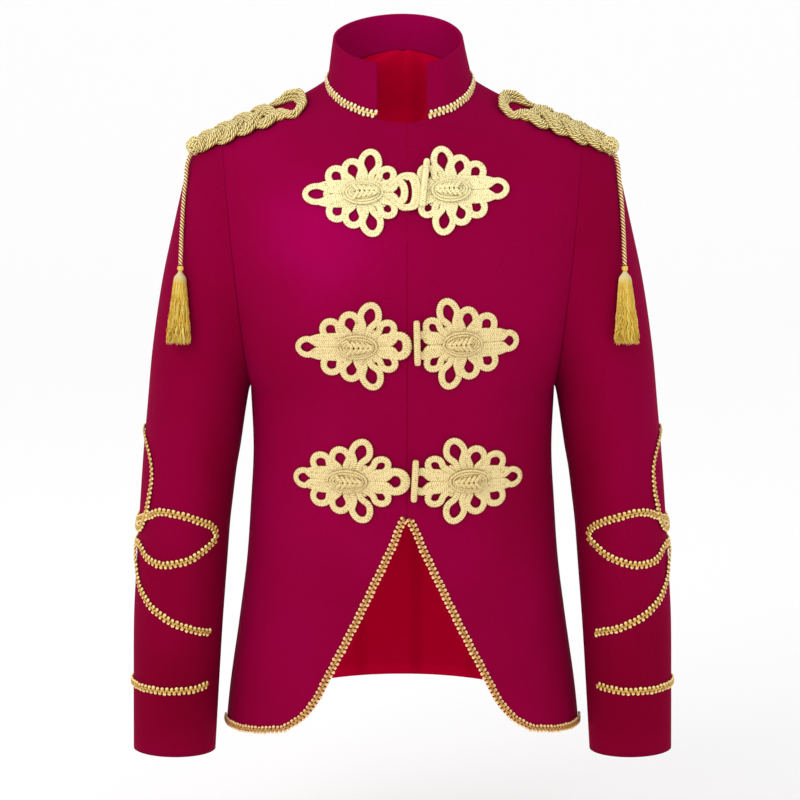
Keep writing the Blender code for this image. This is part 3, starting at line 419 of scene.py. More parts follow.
def neck_point(angle):
    """A point of the neck seam, from centre front (0) round the side to centre back (pi)."""
    x = NECK_HALF_WIDTH * math.sin(angle)
    share = math.cos(angle)
    if share > 0:
        fall = NECK_FRONT * NECK_SLOPE_FRONT * share
        return np.array([x, -NECK_FRONT * share, NECK_SIDE_Z - fall])
    rise = (BACK_NECK_Z - NECK_SIDE_Z) * (-share) ** 1.5
    return np.array([x, -NECK_BACK * share, NECK_SIDE_Z + rise])


def leaned(points):
    """The points with the neck and collar shifted to one side, as the jacket sits."""
    points = np.array(points, float)
    rise = np.clip((points[..., 2] - LEAN_FROM_Z) / LEAN_OVER, 0, 1)
    out = np.clip(np.abs(points[..., 0]) / LEAN_FULL_X, 0, 1) ** 2
    points[..., 0] += LEAN * rise * out
    return points


def armhole_point(angle, face):
    """A point of the left armhole: angle 0 at the shoulder, pi underarm; face -1 front, 1 back."""
    top, low = np.array(SHOULDER_TIP), np.array(UNDERARM)
    x, z = (top + low) / 2 + (top - low) / 2 * math.cos(angle)
    reach = ARMHOLE_FRONT if face < 0 else ARMHOLE_BACK
    return np.array([x, face * reach * math.sin(angle), z])


def torso_section(z, face):
    """The four corners of the curve from the centre line to the left side seam at this height."""
    side_x, side_y, front_y, back_y, centre_handle, side_handle = torso_at(z)
    centre = np.array([0.0, front_y if face < 0 else back_y, z])
    side = np.array([side_x, side_y, z])
    return (centre, centre + [centre_handle, 0, 0], side + [0, face * side_handle, 0], side)


def yoke_section(step, face):
    """The same above the armpit, where a row ends on the armhole and climbs to the shoulder."""
    neck_step = NOTCH_STEP if face < 0 else BACK_NECK_STEP
    centre_at = centre_front_at if face < 0 else centre_back_at
    top_z = NOTCH_Z if face < 0 else BACK_NECK_Z
    if step <= neck_step:
        z = ARMPIT_Z + (top_z - ARMPIT_Z) * step / neck_step
        centre = np.array([0.0, centre_at(z)[0], z])
    else:
        share = (step - neck_step) / (1 - neck_step)
        turn = share * math.pi / 2
        centre = neck_point(turn if face < 0 else math.pi - turn)
        if face < 0:
            centre = centre + [0, 0, (NOTCH_Z - neck_point(0)[2]) * (1 - share) ** 4]
    edge = armhole_point(math.pi * (1 - step), face)
    row = yoke_at(step)
    fall = row[2] if face < 0 else back_fall_at(step)[0]
    out = unit(np.array([row[0], -face * row[1], fall]))
    meet = unit(np.array([row[3], -face * row[4], row[5]]))
    return (centre, centre + out * row[6], edge - meet * row[7], edge)


def start_of(corners, x):
    """Where along the curve it is this far out."""
    low, high = 0.0, 1.0
    for _ in range(40):
        middle = (low + high) / 2
        if bezier(corners, middle)[0] < x:
            low = middle
        else:
            high = middle
    return low


def steps_between(stops, counts):
    """Values from stop to stop, with this many steps in each stretch."""
    values = [stops[0]]
    for a, b, n in zip(stops, stops[1:], counts):
        values += [a + (b - a) * (i + 1) / n for i in range(n)]
    return values


def front_rows(side, columns):
    """The front from hem to shoulder in rows, from the front edge out to side seam and armhole,
    as if it were the left one."""
    rows = []
    offset = -side * FRONT_LINE_X
    apart = np.outer((SEAM_GAP / 2 - offset) * (1 - columns) ** 2, [1, 0, 0])
    stops = [row[0] for row in CUTAWAY] + [ARMPIT_Z]
    for z in steps_between(stops, [CUT_STEPS] * (len(CUTAWAY) - 1) + [FRONT_SIDE_ROWS]):
        share = (z - CUT_CORNER_Z) / (ARMPIT_Z - CUT_CORNER_Z)
        side_z = HEM_Z + (ARMPIT_Z - HEM_Z) * share
        out = max(cutaway_at(z)[0], 0.0) if z < CUT_TOP_Z else 0.0
        first = start_of(torso_section(z, -1), out - offset + SEAM_GAP / 2) if out > 0 else 0.0
        row = []
        for a in columns:
            height = side_z + (z - side_z) * (1 - a) ** 3
            row.append(bezier(torso_section(height, -1), first + (1 - first) * a))
        rows.append(np.array(row) + (apart if out == 0 else 0))
    for step in steps_between((0.0, NOTCH_STEP, 1.0), (FRONT_YOKE_ROWS, FRONT_NECK_ROWS))[1:]:
        row = bezier(yoke_section(step, -1), columns)
        rows.append(row + (apart if step <= NOTCH_STEP else 0))
    return np.array(rows)


def mirrored(grid, side):
    """The grid on its own side of the body, with its columns turned so that it still faces out."""
    if side > 0:
        return grid
    return (grid * [-1, 1, 1])[:, ::-1]


def back_half():
    """The left half of the back in rows from hem to shoulder, centre line to side and armhole."""
    rows = []
    columns = spread(WIDE)
    for share in np.linspace(0, 1, BACK_LOW_ROWS + 1):
        row = []
        for a in columns:
            hem = BACK_HEM_Z + (HEM_Z - BACK_HEM_Z) * math.sin(a * math.pi / 2) ** 2
            z = hem + (ARMPIT_Z - hem) * share
            row.append(bezier(torso_section(z, 1), a))
        rows.append(np.array(row))
    for step in steps_between((0.0, BACK_NECK_STEP, 1.0), (BACK_YOKE_ROWS, BACK_NECK_ROWS))[1:]:
        rows.append(bezier(yoke_section(step, 1), columns))
    return np.array(rows)


def grid_normals(grid, before=None, after=None, above=None):
    """Outward directions, with the neighbouring row or columns where the surface goes on."""
    left = grid[:, :1] * 2 - grid[:, 1:2] if before is None else before[:, None]
    right = grid[:, -1:] * 2 - grid[:, -2:-1] if after is None else after[:, None]
    wide = np.concatenate([left, grid, right], axis=1)
    across = wide[:, 2:] - wide[:, :-2]
    low = grid[:1] * 2 - grid[1:2]
    high = grid[-1:] * 2 - grid[-2:-1] if above is None else above[None]
    tall = np.concatenate([low, grid, high])
    up = tall[2:] - tall[:-2]
    return unit(np.cross(across, up))


def grid_faces(rows, columns, closed=False):
    """Quads over a grid of points, counted row by row."""
    faces = []
    for i in range(rows - 1):
        for j in range(columns if closed else columns - 1):
            k = (j + 1) % columns
            faces.append((i * columns + j, i * columns + k,
                          (i + 1) * columns + k, (i + 1) * columns + j))
    return faces


class Surface:
    """A fine sheet of the garment that trims are laid on."""

    def __init__(self, grids):
        points, faces = [], []
        for grid in grids:
            start = len(points)
            points += [Vector(p) for p in grid.reshape(-1, 3)]
            faces += [tuple(start + i for i in face) for face in grid_faces(*grid.shape[:2])]
        self.tree = BVHTree.FromPolygons(points, faces)

    def nearest(self, point):
        """The nearest point of the cloth, and the way out of it there."""
        place, normal, _, _ = self.tree.find_nearest(Vector(point))
        return np.array(place), np.array(normal)

    def along(self, start, way, spare):
        """Where this way first meets the cloth, or else the nearest point to a spare one."""
        place, normal, _, _ = self.tree.ray_cast(Vector(start), Vector(way))
        if place is None:
            return self.nearest(spare)
        return np.array(place), np.array(normal)

    def from_front(self, x, z):
        """The point straight behind (x, z)."""
        return self.along((x, -1, z), (0, 1, 0), (x, -0.1, z))


def panel_normals(own, other, seam_rows, other_rows, way):
    """Outward normals of a left panel, as its cloth goes on past the side seam and shoulder; way
    1 where its columns run to the left, -1 otherwise."""
    beyond = 2 * own[:, -1] - own[:, -2]
    for i in range(seam_rows + 1):
        j = int(np.argmin(np.abs(other[:other_rows + 1, -1, 2] - own[i, -1, 2])))
        beyond[i] = own[i, -1] + other[j, -2] - other[j, -1]
    above = own[-1] + other[-2] - other[-1]
    return way * grid_normals(own, after=beyond, above=above)


def collar_point(angle, rise, top_angle):
    """From the neck seam (rise 0) to the collar's top edge (1)."""
    low = neck_point(angle)
    x = COLLAR_TOP_HALF_WIDTH * math.sin(top_angle)
    y = -(COLLAR_TOP_FRONT if math.cos(top_angle) > 0 else COLLAR_TOP_BACK) * math.cos(top_angle)
    top = np.array([x, y, COLLAR_TOP_Z + COLLAR_TOP_SLOPE * y])
    return leaned(low + (top - low) * rise) + [0, 0, COLLAR_GAP]


def collar_grid(columns, rows):
    """The stand collar from its front end on the left, round the back, to the right."""
    first = math.asin(COLLAR_END_X / NECK_HALF_WIDTH)
    top_first = math.asin(COLLAR_END_X / COLLAR_TOP_HALF_WIDTH)
    grid = []
    for rise in np.linspace(0, 1, rows + 1):
        row = []
        for a in np.linspace(0, 1, columns + 1):
            angle = first + (2 * math.pi - 2 * first) * a
            top_angle = top_first + (2 * math.pi - 2 * top_first) * a
            row.append(collar_point(angle, rise, top_angle))
        grid.append(row)
    return np.array(grid)


def sleeve_point(ring, around):
    """A point of the left sleeve: place in rings from the armhole, degrees from the outer line."""
    out_x, out_z, in_x, in_z, front, back, mid_y = sleeve_at(ring)
    turn = math.radians(around)
    along = math.cos(turn)
    reach = math.sin(turn) * (front if turn > 0 else back)
    x = (out_x + in_x) / 2 + (out_x - in_x) / 2 * along
    z = (out_z + in_z) / 2 + (out_z - in_z) / 2 * along
    return np.array([x, mid_y - reach, z])


def sleeve_grid(side, around, rings):
    """The sleeve in rings from the cuff up to the armhole."""
    grid = [[sleeve_point(ring, 180 - 360 * j / around) for j in range(around)]
            for ring in reversed(rings)]
    return mirrored(np.array(grid), side)


def opened(grid):
    """Rings as an open sheet whose two edges meet."""
    return np.concatenate([grid, grid[:, :1]], axis=1)


def sleeve_head(side):
    """The upper part of the sleeve, with its armhole seam's gap, for the epaulette to lie on."""
    grid = sleeve_grid(side, 80, [0.0] + steps_between((0.02, 6.0), (48,)))
    grid[-1] += [side * ARMHOLE_GAP, 0, 0]
    return opened(grid)


def shoulder_line():
    """The ridge from the neck over the armhole seam and down the sleeve's head."""
    ridge = bezier(yoke_section(1.0, -1), np.linspace(0, 1, 20))
    head = np.array([sleeve_point(ring, 0) for ring in np.linspace(0.1, 4, 20)])
    line = np.vstack([ridge, head])
    lengths = lengths_along(line)
    start = np.interp(EPAULETTE_START, line[:, 0], lengths)

    def at(distance):
        """The point, the way along and the way up, this far from the epaulette's start."""
        mark = start + distance
        here, ahead, behind = sampled(line, lengths, [mark, mark + 0.006, mark - 0.006])
        way = unit(ahead - behind)
        return here, way, np.array([-way[2], 0, way[0]])

    return at


def spread(count, pull=0.75):
    """Shares from 0 to 1, closer together near both ends."""
    a = np.linspace(0, 1, count + 1)
    return a - pull * np.sin(2 * np.pi * a) / (2 * np.pi)


def edge_roll(grid, edge):
    """How far the cloth turns in next to its sewn edge, so that the seam reads as a soft groove."""
    share = np.clip(1 - np.linalg.norm(grid - edge, axis=2) / EDGE_ROLL, 0, 1)
    return EDGE_ROLL * (1 - np.sqrt(1 - share ** 2))


def folds(points, table):
    """Height of soft ridges and troughs, each along a line from one point to another."""
    points = np.asarray(points, float)
    height = np.zeros(points.shape[:-1])
    for x1, y1, z1, x2, y2, z2, half_width, depth in table:
        a, b = np.array([x1, y1, z1]), np.array([x2, y2, z2])
        way = b - a
        share = np.clip(((points - a) @ way) / (way @ way), 0, 1)
        away = np.linalg.norm(points - a - share[..., None] * way, axis=-1) / half_width
        height += depth * np.exp(-away ** 2) * np.sin(np.pi * (0.08 + 0.84 * share)) ** 0.7
    return height


def mesh_object(name, points, faces, materials, slots=None):
    mesh = bpy.data.meshes.new(name)
    mesh.from_pydata(np.asarray(points, float).tolist(), [], faces)
    for made in materials:
        mesh.materials.append(made)
    if slots is not None:
        mesh.polygons.foreach_set("material_index", slots)
    mesh.shade_smooth()
    obj = bpy.data.objects.new(name, mesh)
    bpy.context.scene.collection.objects.link(obj)
    return obj


def keep(obj, name, rows):
    """Three numbers for each point of the mesh, for its material to read."""
    stored = obj.data.attributes.new(name, "FLOAT_VECTOR", "POINT")
    stored.data.foreach_set("vector", np.asarray(rows, np.float32).ravel())


def cloth(name, points, normals, faces, thick, outer, inner, pile=0.40, painted_inside_light=0.40):
    """A thin closed wall: the given sheet outside, its lining inside."""
    points, normals = points.reshape(-1, 3), normals.reshape(-1, 3)
    count = len(points)
    edges = {(a, b) for face in faces for a, b in zip(face, face[1:] + face[:1])}
    rim = sorted((b, a, a + count, b + count) for a, b in edges if (b, a) not in edges)
    under = [tuple(i + count for i in reversed(face)) for face in faces]
    slots = [0] * len(faces) + [1] * len(under) + [0] * len(rim)
    both = np.vstack([points, points - normals * thick])
    obj = mesh_object(name, both, faces + under + rim, [outer, inner], slots)
    # Per-point level read by the velvet: the pile's lie plus the painted light and shade of the nap
    # table; a higher inside level paints light into a shaded inside
    nap_and_painted_light = np.full((len(both), 3), pile)
    nap_and_painted_light[count:] = painted_inside_light
    for x, y, z, wide, deep, tall, gain in NAP_AND_PAINTED_LIGHT:
        away = ((both - (x, y, z)) / (wide, deep, tall)) ** 2
        nap_and_painted_light[:, 0] += gain * np.exp(-away.sum(axis=1))
    keep(obj, "nap_and_painted_light", nap_and_painted_light)
    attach(obj, "root")
    return obj


class Shader:
    """A material whose nodes are added and joined one by one."""

    def __init__(self, name, colour, roughness, **settings):
        self.made = bpy.data.materials.new(name)
        self.made.use_nodes = True
        self.tree = self.made.node_tree
        self.shader = self.tree.nodes["Principled BSDF"]
        self.shader.inputs["Base Color"].default_value = (*colour, 1)
        self.shader.inputs["Roughness"].default_value = roughness
        self.made.diffuse_color = (*colour, 1)
        for key, value in settings.items():
            self.shader.inputs[key.replace("_", " ")].default_value = value
        self.place = self.add("ShaderNodeTexCoord").outputs["Object"]

    def add(self, kind, **values):
        node = self.tree.nodes.new(kind)
        for key, value in values.items():
            if key in node.inputs:
                node.inputs[key].default_value = value
            else:
                setattr(node, key, value)
        return node

    def join(self, output, socket):
        self.tree.links.new(output, socket)

    def noise(self, scale, detail=2.0, roughness=0.5):
        node = self.add("ShaderNodeTexNoise", Scale=scale, Detail=detail, Roughness=roughness)
        self.join(self.place, node.inputs["Vector"])
        return node.outputs["Fac"]

    def ramp(self, source, stops):
        """Colours at places from 0 to 1."""
        node = self.add("ShaderNodeValToRGB")
        elements = node.color_ramp.elements
        while len(elements) < len(stops):
            elements.new(0.5)
        for element, (place, colour) in zip(elements, stops):
            element.position = place
            element.color = (*colour, 1)
        self.join(source, node.inputs["Fac"])
        return node.outputs["Color"]

    def feed(self, value, socket):
        """An output joined to the socket, or a colour or number set there."""
        if isinstance(value, bpy.types.NodeSocket):
            self.join(value, socket)
        else:
            socket.default_value = (*value, 1) if isinstance(value, tuple) else value

    def mix(self, share, first, second, kind="MIX"):
        node = self.add("ShaderNodeMix", data_type="RGBA", blend_type=kind)
        for value, place in ((share, 0), (first, 6), (second, 7)):
            self.feed(value, node.inputs[place])
        return node.outputs[2]

    def times(self, first, second):
        """One colour multiplied by the other."""
        return self.mix(1.0, first, second, "MULTIPLY")

    def math(self, operation, first, second=0.0):
        node = self.add("ShaderNodeMath", operation=operation)
        for value, socket in zip((first, second), node.inputs):
            self.feed(value, socket)
        return node.outputs[0]

    def wave(self, source, pitch):
        """A sine of the source, once in each pitch."""
        return self.math("SINE", self.math("MULTIPLY", source, 2 * math.pi / pitch))

    def stored(self, name):
        """The three numbers that each point of the mesh keeps under this name."""
        node = self.add("ShaderNodeAttribute", attribute_name=name)
        split = self.add("ShaderNodeSeparateXYZ")
        self.join(node.outputs["Vector"], split.inputs[0])
        return split.outputs

    def half(self, output):
        """From -1 ... 1 to 0 ... 1."""
        return self.math("ADD", self.math("MULTIPLY", output, 0.5), 0.5)

    def colour(self, output):
        self.join(output, self.shader.inputs["Base Color"])

    def bump(self, output, depth, strength):
        node = self.add("ShaderNodeBump", Strength=strength, Distance=depth)
        self.join(output, node.inputs["Height"])
        self.join(node.outputs["Normal"], self.shader.inputs["Normal"])


def make_velvet(name):
    """Soft pile: its lie changes in broad patches, with painted light and shade added from each
    point's stored level, and the fibres glow a little.
    """
    velvet = Shader(name, (0.29, 0.0, 0.045), 0.85, Sheen_Weight=0.06, Sheen_Roughness=0.5,
                    Sheen_Tint=(1.0, 0.0, 0.30, 1), Specular_IOR_Level=0.02)
    patches = velvet.math("MULTIPLY", velvet.noise(9.0), 0.30)
    lie = velvet.math("ADD", velvet.stored("nap_and_painted_light")[0], patches)
    soft = velvet.ramp(lie, [(0.12, (0.165, 0.0, 0.011)), (0.40, (0.228, 0.0, 0.026)),
                             (0.65, (0.282, 0.0, 0.044)), (1.0, (0.400, 0.0, 0.095))])
    pile = velvet.ramp(velvet.noise(1100.0), [(0.3, (0.80, 0.80, 0.80)), (0.7, (1.0, 1.0, 1.0))])
    velvet.colour(velvet.times(soft, pile))
    velvet.bump(velvet.noise(1600.0, 1.0), 0.0002, 0.3)
    return velvet.made


def make_lining(name):
    """Red satin with fine cross threads and faint darker stripes, and painted light and shade that
    change with height.
    """
    satin = Shader(name, (0.60, 0.0, 0.03), 0.6, Specular_IOR_Level=0.0)
    across = satin.add("ShaderNodeSeparateXYZ")
    satin.join(satin.place, across.inputs[0])
    stripe = satin.half(satin.wave(across.outputs[0], 0.062))
    stripes = satin.ramp(stripe, [(0.80, (1.0, 1.0, 1.0)), (1.0, (0.86, 0.80, 0.80))])
    # Painted light and shade by height: darker towards the hem, lighter higher up, darker again
    # near the neck
    height = satin.math("ADD", across.outputs[2], 0.75)
    painted_shading = satin.ramp(height, [(0.08, (0.45, 0.0, 0.026)), (0.22, (0.60, 0.0, 0.032)),
                                (0.60, (0.92, 0.0, 0.054)), (0.66, (0.92, 0.0, 0.054)),
                                (0.72, (0.58, 0.0, 0.034))])
    satin.colour(satin.times(painted_shading, stripes))
    satin.bump(satin.wave(across.outputs[2], 0.0009), 0.00008, 0.3)
    return satin.made


def make_wound(name, dark, middle, light, pitch, grain, spots):
    """Wound gold thread, with painted shade down between its lumps or plies and painted highlights
    on their tops, and fine turns across it.
    """
    gold = Shader(name, middle, 0.45, Metallic=0.1, Specular_IOR_Level=0.5)
    along, _, rise = gold.stored("run")
    worn = gold.math("MULTIPLY", gold.math("SUBTRACT", gold.noise(grain, 3.0, 0.6), 0.5), spots)
    level = gold.math("ADD", gold.math("MULTIPLY", gold.half(rise), 0.85), worn)
    gold.colour(gold.ramp(level, [(0.26, dark), (0.54, middle), (0.84, light)]))
    gold.bump(gold.wave(along, pitch), 0.00015, 0.5)
    return gold.made


def make_ribbed(name, dark, light):
    """Flat cord with fine ribs that slope back from a faint line along its middle, with painted
    shade in the grooves between the ribs and down its sides.
    """
    gold = Shader(name, light, 0.55, Specular_IOR_Level=0.4)
    along, across, rise = gold.stored("run")
    edge = gold.math("ABSOLUTE", across)
    slope = gold.math("ADD", along, gold.math("MULTIPLY", edge, 0.0020))
    rib = gold.half(gold.wave(slope, 0.0023))
    ribs = gold.ramp(rib, [(0.05, dark), (0.60, light)])
    middle = gold.ramp(edge, [(0.0, (0.80, 0.75, 0.58)), (0.14, (1.0, 1.0, 1.0))])
    # Painted shade down the cord's sides and underneath, lighter on its top
    deep = gold.ramp(gold.half(rise), [(0.14, (0.26, 0.16, 0.06)), (0.50, (0.74, 0.63, 0.44)),
                                       (0.76, (1.0, 1.0, 1.0))])
    worn = gold.ramp(gold.noise(420.0, 3.0, 0.6),
                     [(0.30, (0.62, 0.54, 0.30)), (0.47, (1.0, 1.0, 1.0))])
    gold.colour(gold.times(gold.times(gold.times(ribs, middle), worn), deep))
    gold.bump(rib, 0.00025, 0.7)
    return gold.made


def make_thread(name):
    """Rayon threads: pale over the head, then yellow gold with darker streaks."""
    gold = Shader(name, (0.66, 0.49, 0.09), 0.45, Metallic=0.05, Specular_IOR_Level=0.45)
    # The stored level is each thread's own streak; on the wound neck it is painted shade in the
    # plies' grooves
    along, _, streak_and_shade = gold.stored("run")
    streaks = gold.ramp(gold.half(streak_and_shade), [(0.05, (0.50, 0.21, 0.006)), (0.35, (0.70, 0.42, 0.03)),
                                            (0.70, (0.80, 0.58, 0.08)), (1.0, (0.88, 0.74, 0.25))])
    head = gold.ramp(gold.math("MULTIPLY", along, 1 / 0.06),
                     [(0.05, (1.0, 1.0, 1.0)), (0.24, (0.0, 0.0, 0.0))])
    gold.colour(gold.mix(head, streaks, (0.84, 0.74, 0.44)))
    return gold.made


# Wound golds: colours of the painted shade in the deep parts, of the middle and of the painted
# highlight on the high parts, length of a turn of the thread, and how fine and how strong their
# worn spots are
WOUND = {
    "gimp_gold": ((0.27, 0.11, 0.010), (0.82, 0.50, 0.11), (1.0, 0.82, 0.38), 0.0008, 600.0, 0.9),
    "gimp_hem": ((0.20, 0.065, 0.006), (0.76, 0.39, 0.10), (1.0, 0.72, 0.38), 0.0008, 600.0, 0.9),
    "gimp_pale": ((0.52, 0.30, 0.09), (1.0, 0.78, 0.34), (1.0, 0.95, 0.62), 0.0008, 600.0, 0.9),
    "plait_gold": ((0.26, 0.12, 0.008), (0.80, 0.62, 0.18), (1.0, 0.96, 0.56), 0.0009, 300.0, 0.15),
    "cord_gold": ((0.15, 0.03, 0.002), (0.78, 0.40, 0.10), (1.0, 0.86, 0.46), 0.0009, 300.0, 0.1),
}
velvet = make_velvet("velvet")
lining = make_lining("lining_satin")
golds = {name: make_wound(name, *row) for name, row in WOUND.items()}
golds["frog_gold"] = make_ribbed("frog_gold", (0.60, 0.43, 0.16), (0.88, 0.74, 0.39))
golds["frog_pale"] = make_ribbed("frog_pale", (0.74, 0.60, 0.27), (0.98, 0.93, 0.56))
golds["thread_gold"] = make_thread("thread_gold")

# Soft ridges and troughs: two end points, half width and height. The front's lie on the left
# front only, those of the back and sleeves on both sides
FRONT_FOLDS = (
    (0.150, -0.060, -0.300, 0.095, -0.100, -0.335, 0.012, -0.0012),
    (0.155, -0.055, -0.345, 0.110, -0.095, -0.372, 0.010, -0.0009),
    (0.140, -0.070, -0.190, 0.118, -0.085, -0.262, 0.012, 0.0010),
    (0.152, -0.050, -0.440, 0.108, -0.088, -0.452, 0.011, -0.0010),
    (0.160, -0.055, -0.520, 0.120, -0.090, -0.600, 0.014, 0.0009),
)
BACK_FOLDS = (
    (0.150, 0.060, -0.290, 0.090, 0.095, -0.330, 0.013, -0.0013),
    (0.148, 0.055, -0.350, 0.100, 0.085, -0.380, 0.011, -0.0010),
    (0.020, 0.085, -0.430, 0.115, 0.075, -0.446, 0.012, -0.0014),
    (0.060, 0.088, -0.478, 0.130, 0.070, -0.462, 0.010, -0.0009),
    (0.070, 0.105, -0.530, 0.085, 0.110, -0.640, 0.016, 0.0012),
)
SLEEVE_FOLDS = (
    (0.190, -0.050, -0.400, 0.232, -0.070, -0.372, 0.010, -0.0012),
    (0.192, -0.045, -0.452, 0.240, -0.066, -0.430, 0.009, -0.0010),
    (0.196, -0.050, -0.506, 0.248, -0.062, -0.498, 0.011, -0.0011),
    (0.205, 0.050, -0.418, 0.250, 0.062, -0.400, 0.011, -0.0013),
    (0.200, 0.045, -0.470, 0.258, 0.058, -0.462, 0.010, -0.0012),
    (0.215, -0.062, -0.560, 0.225, -0.055, -0.640, 0.013, 0.0008),
)

# Where the velvet is lighter or darker: partly the pile's own lie, partly painted light, with a
# painted highlight on the upper chest and shoulder towards the key lamp and painted shade along the
# sides; middle, reach along x, y and z, and how much
NAP_AND_PAINTED_LIGHT = (
    (-0.085, -0.10, -0.160, 0.075, 0.10, 0.070, 0.30),
    (-0.075, -0.11, -0.440, 0.070, 0.10, 0.060, 0.10),
    (0.075, -0.10, -0.230, 0.060, 0.10, 0.090, 0.08),
    (0.120, -0.08, -0.400, 0.050, 0.10, 0.120, -0.10),
    (-0.130, -0.08, -0.330, 0.030, 0.10, 0.090, -0.10),
    (-0.235, -0.05, -0.640, 0.060, 0.10, 0.080, -0.26),
    (0.235, -0.05, -0.640, 0.060, 0.10, 0.090, -0.24),
    (-0.155, -0.04, -0.060, 0.050, 0.06, 0.040, 0.14),
    (-0.195, 0.0, -0.420, 0.022, 0.10, 0.110, -0.18),
    (0.195, 0.0, -0.420, 0.022, 0.10, 0.110, -0.22),
    (0.080, 0.10, -0.200, 0.080, 0.08, 0.080, 0.16),
    (-0.060, 0.10, -0.560, 0.080, 0.08, 0.070, 0.10),
)


def front_sheet(side):
    """Points and normals of one front as it is worn, with its folds and seams."""
    rows = front_rows(side, spread(WIDE))
    normals = panel_normals(rows, back_half(), FRONT_SEAM, BACK_LOW_ROWS, 1)
    normals[CUT_ROWS:FRONT_SEAM + FRONT_YOKE_ROWS + 1, 0, 0] = 0
    height = folds(rows * [side, 1, 1], FRONT_FOLDS) - edge_roll(rows, rows[:, -1:])
    rows = rows + normals * height[..., None]
    return leaned(rows * [side, 1, 1]), normals * [side, 1, 1]


def make_fronts():
    """Both fronts; their outer sheets are returned with columns that run to the left."""
    made = {}
    for name, side in SIDES.items():
        grid, normals = front_sheet(side)
        faces = grid_faces(*grid.shape[:2])
        if side < 0:
            faces = [tuple(reversed(face)) for face in faces]
        obj = cloth("velvet_front_" + name, grid, normals, faces, CLOTH, velvet, lining)
        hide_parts("front_" + name)
        made[side] = grid if side > 0 else grid[:, ::-1]
    return made


def make_backs():
    """The back and its lining; the sheet of the left half is returned."""
    half = back_half()
    normals = panel_normals(half, front_rows(1, spread(WIDE)), BACK_LOW_ROWS, FRONT_SEAM, -1)
    neck_row = BACK_LOW_ROWS + BACK_YOKE_ROWS
    normals[:neck_row + 1, 0, 0] = 0
    height = folds(half, BACK_FOLDS) - edge_roll(half, half[:, -1:])
    half = half + normals * height[..., None]
    rows, count = half.shape[:2]
    faces = [tuple(reversed(face)) for face in grid_faces(rows, count)]

    def on_right(i):
        """The right half's own point, or the shared one on the centre line below the neck."""
        row, column = divmod(i, count)
        return i if column == 0 and row <= neck_row else i + rows * count

    faces += [tuple(on_right(i) for i in reversed(face)) for face in faces]
    used = sorted({i for face in faces for i in face})
    index = {old: new for new, old in enumerate(used)}
    faces = [tuple(index[i] for i in face) for face in faces]
    flat, out = (np.vstack([part, part * [-1, 1, 1]]).reshape(-1, 3)[used]
                 for part in (half, normals))
    back = cloth("velvet_back", leaned(flat), out, faces, CLOTH, velvet, lining)
    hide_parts("back")
    inside = leaned(flat) - out * (CLOTH + LINING_GAP)
    skin = cloth("satin_lining", inside, out, faces, LINING, lining, lining)
    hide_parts("back_lining")
    return half


def make_collar():
    grid = collar_grid(160, 24)
    # The collar's inside is painted lighter: painted light standing in for the light that its own
    # shade keeps out
    obj = cloth("velvet_collar", grid, grid_normals(grid), grid_faces(*grid.shape[:2]),
                COLLAR_CLOTH, velvet, velvet, painted_inside_light=0.64)
    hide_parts("collar")


def sleeve_sheet(side):
    """Points and normals of one sleeve as it is worn, with its folds and its armhole edge."""
    rings = [0.0, 0.02, 0.05, 0.1, 0.18, 0.28, 0.4] + list(np.linspace(0.55, len(SLEEVE) - 1, 110))
    grid = sleeve_grid(side, 96, rings)
    normals = grid_normals(grid, before=grid[:, -1], after=grid[:, 0])
    height = folds(grid * [side, 1, 1], SLEEVE_FOLDS) - edge_roll(grid, grid[-1:])
    grid = grid + normals * height[..., None]
    near = np.exp(-(np.linalg.norm(grid - grid[-1:], axis=2) / 0.010) ** 2)
    grid[..., 0] += side * SEAM_OPEN * near
    tuck = grid[-1] - normals[-1] * SLEEVE_TUCK - [side * SLEEVE_TUCK, 0, 0]
    return np.concatenate([grid, tuck[None]]), np.concatenate([normals, normals[-1:]])


def make_sleeves():
    """Both sleeves; their outer surfaces are returned for the braid and tassels."""
    made = {}
    for name, side in SIDES.items():
        grid, normals = sleeve_sheet(side)
        faces = grid_faces(*grid.shape[:2], closed=True)
        obj = cloth("velvet_sleeve_" + name, grid, normals, faces, CLOTH, velvet, lining, pile=0.33)
        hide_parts("sleeve_" + name)
        made[side] = Surface([opened(grid)])
    return made


class Route:
    """A smooth line laid on the cloth, with the ways along, across and out at each place."""

    def __init__(self, surface, path):
        stations = spaced_path(path, 0.0015)
        lifts = stations[:, 3] if stations.shape[1] > 3 else np.zeros(len(stations))
        places, normals = lifted([surface.nearest(p[:3]) for p in stations], 0.0)
        normals = unit(smoothed(normals, 5))
        across = np.cross(unit(np.gradient(places, axis=0)), normals)
        self.marks = lengths_along(places)
        self.length = self.marks[-1]
        self.rows = np.hstack([places, across, normals, (lifts + TRIM_GAP)[:, None]])

    def at(self, along, across, out):
        """Points this far along, to one side and above the cloth, and the way out there."""
        rows = sampled(self.rows, self.marks, along)
        height = np.asarray(out)[:, None] + rows[:, 9:]
        points = rows[:, :3] + rows[:, 3:6] * np.asarray(across)[:, None] + rows[:, 6:9] * height
        return points, rows[:, 6:9]


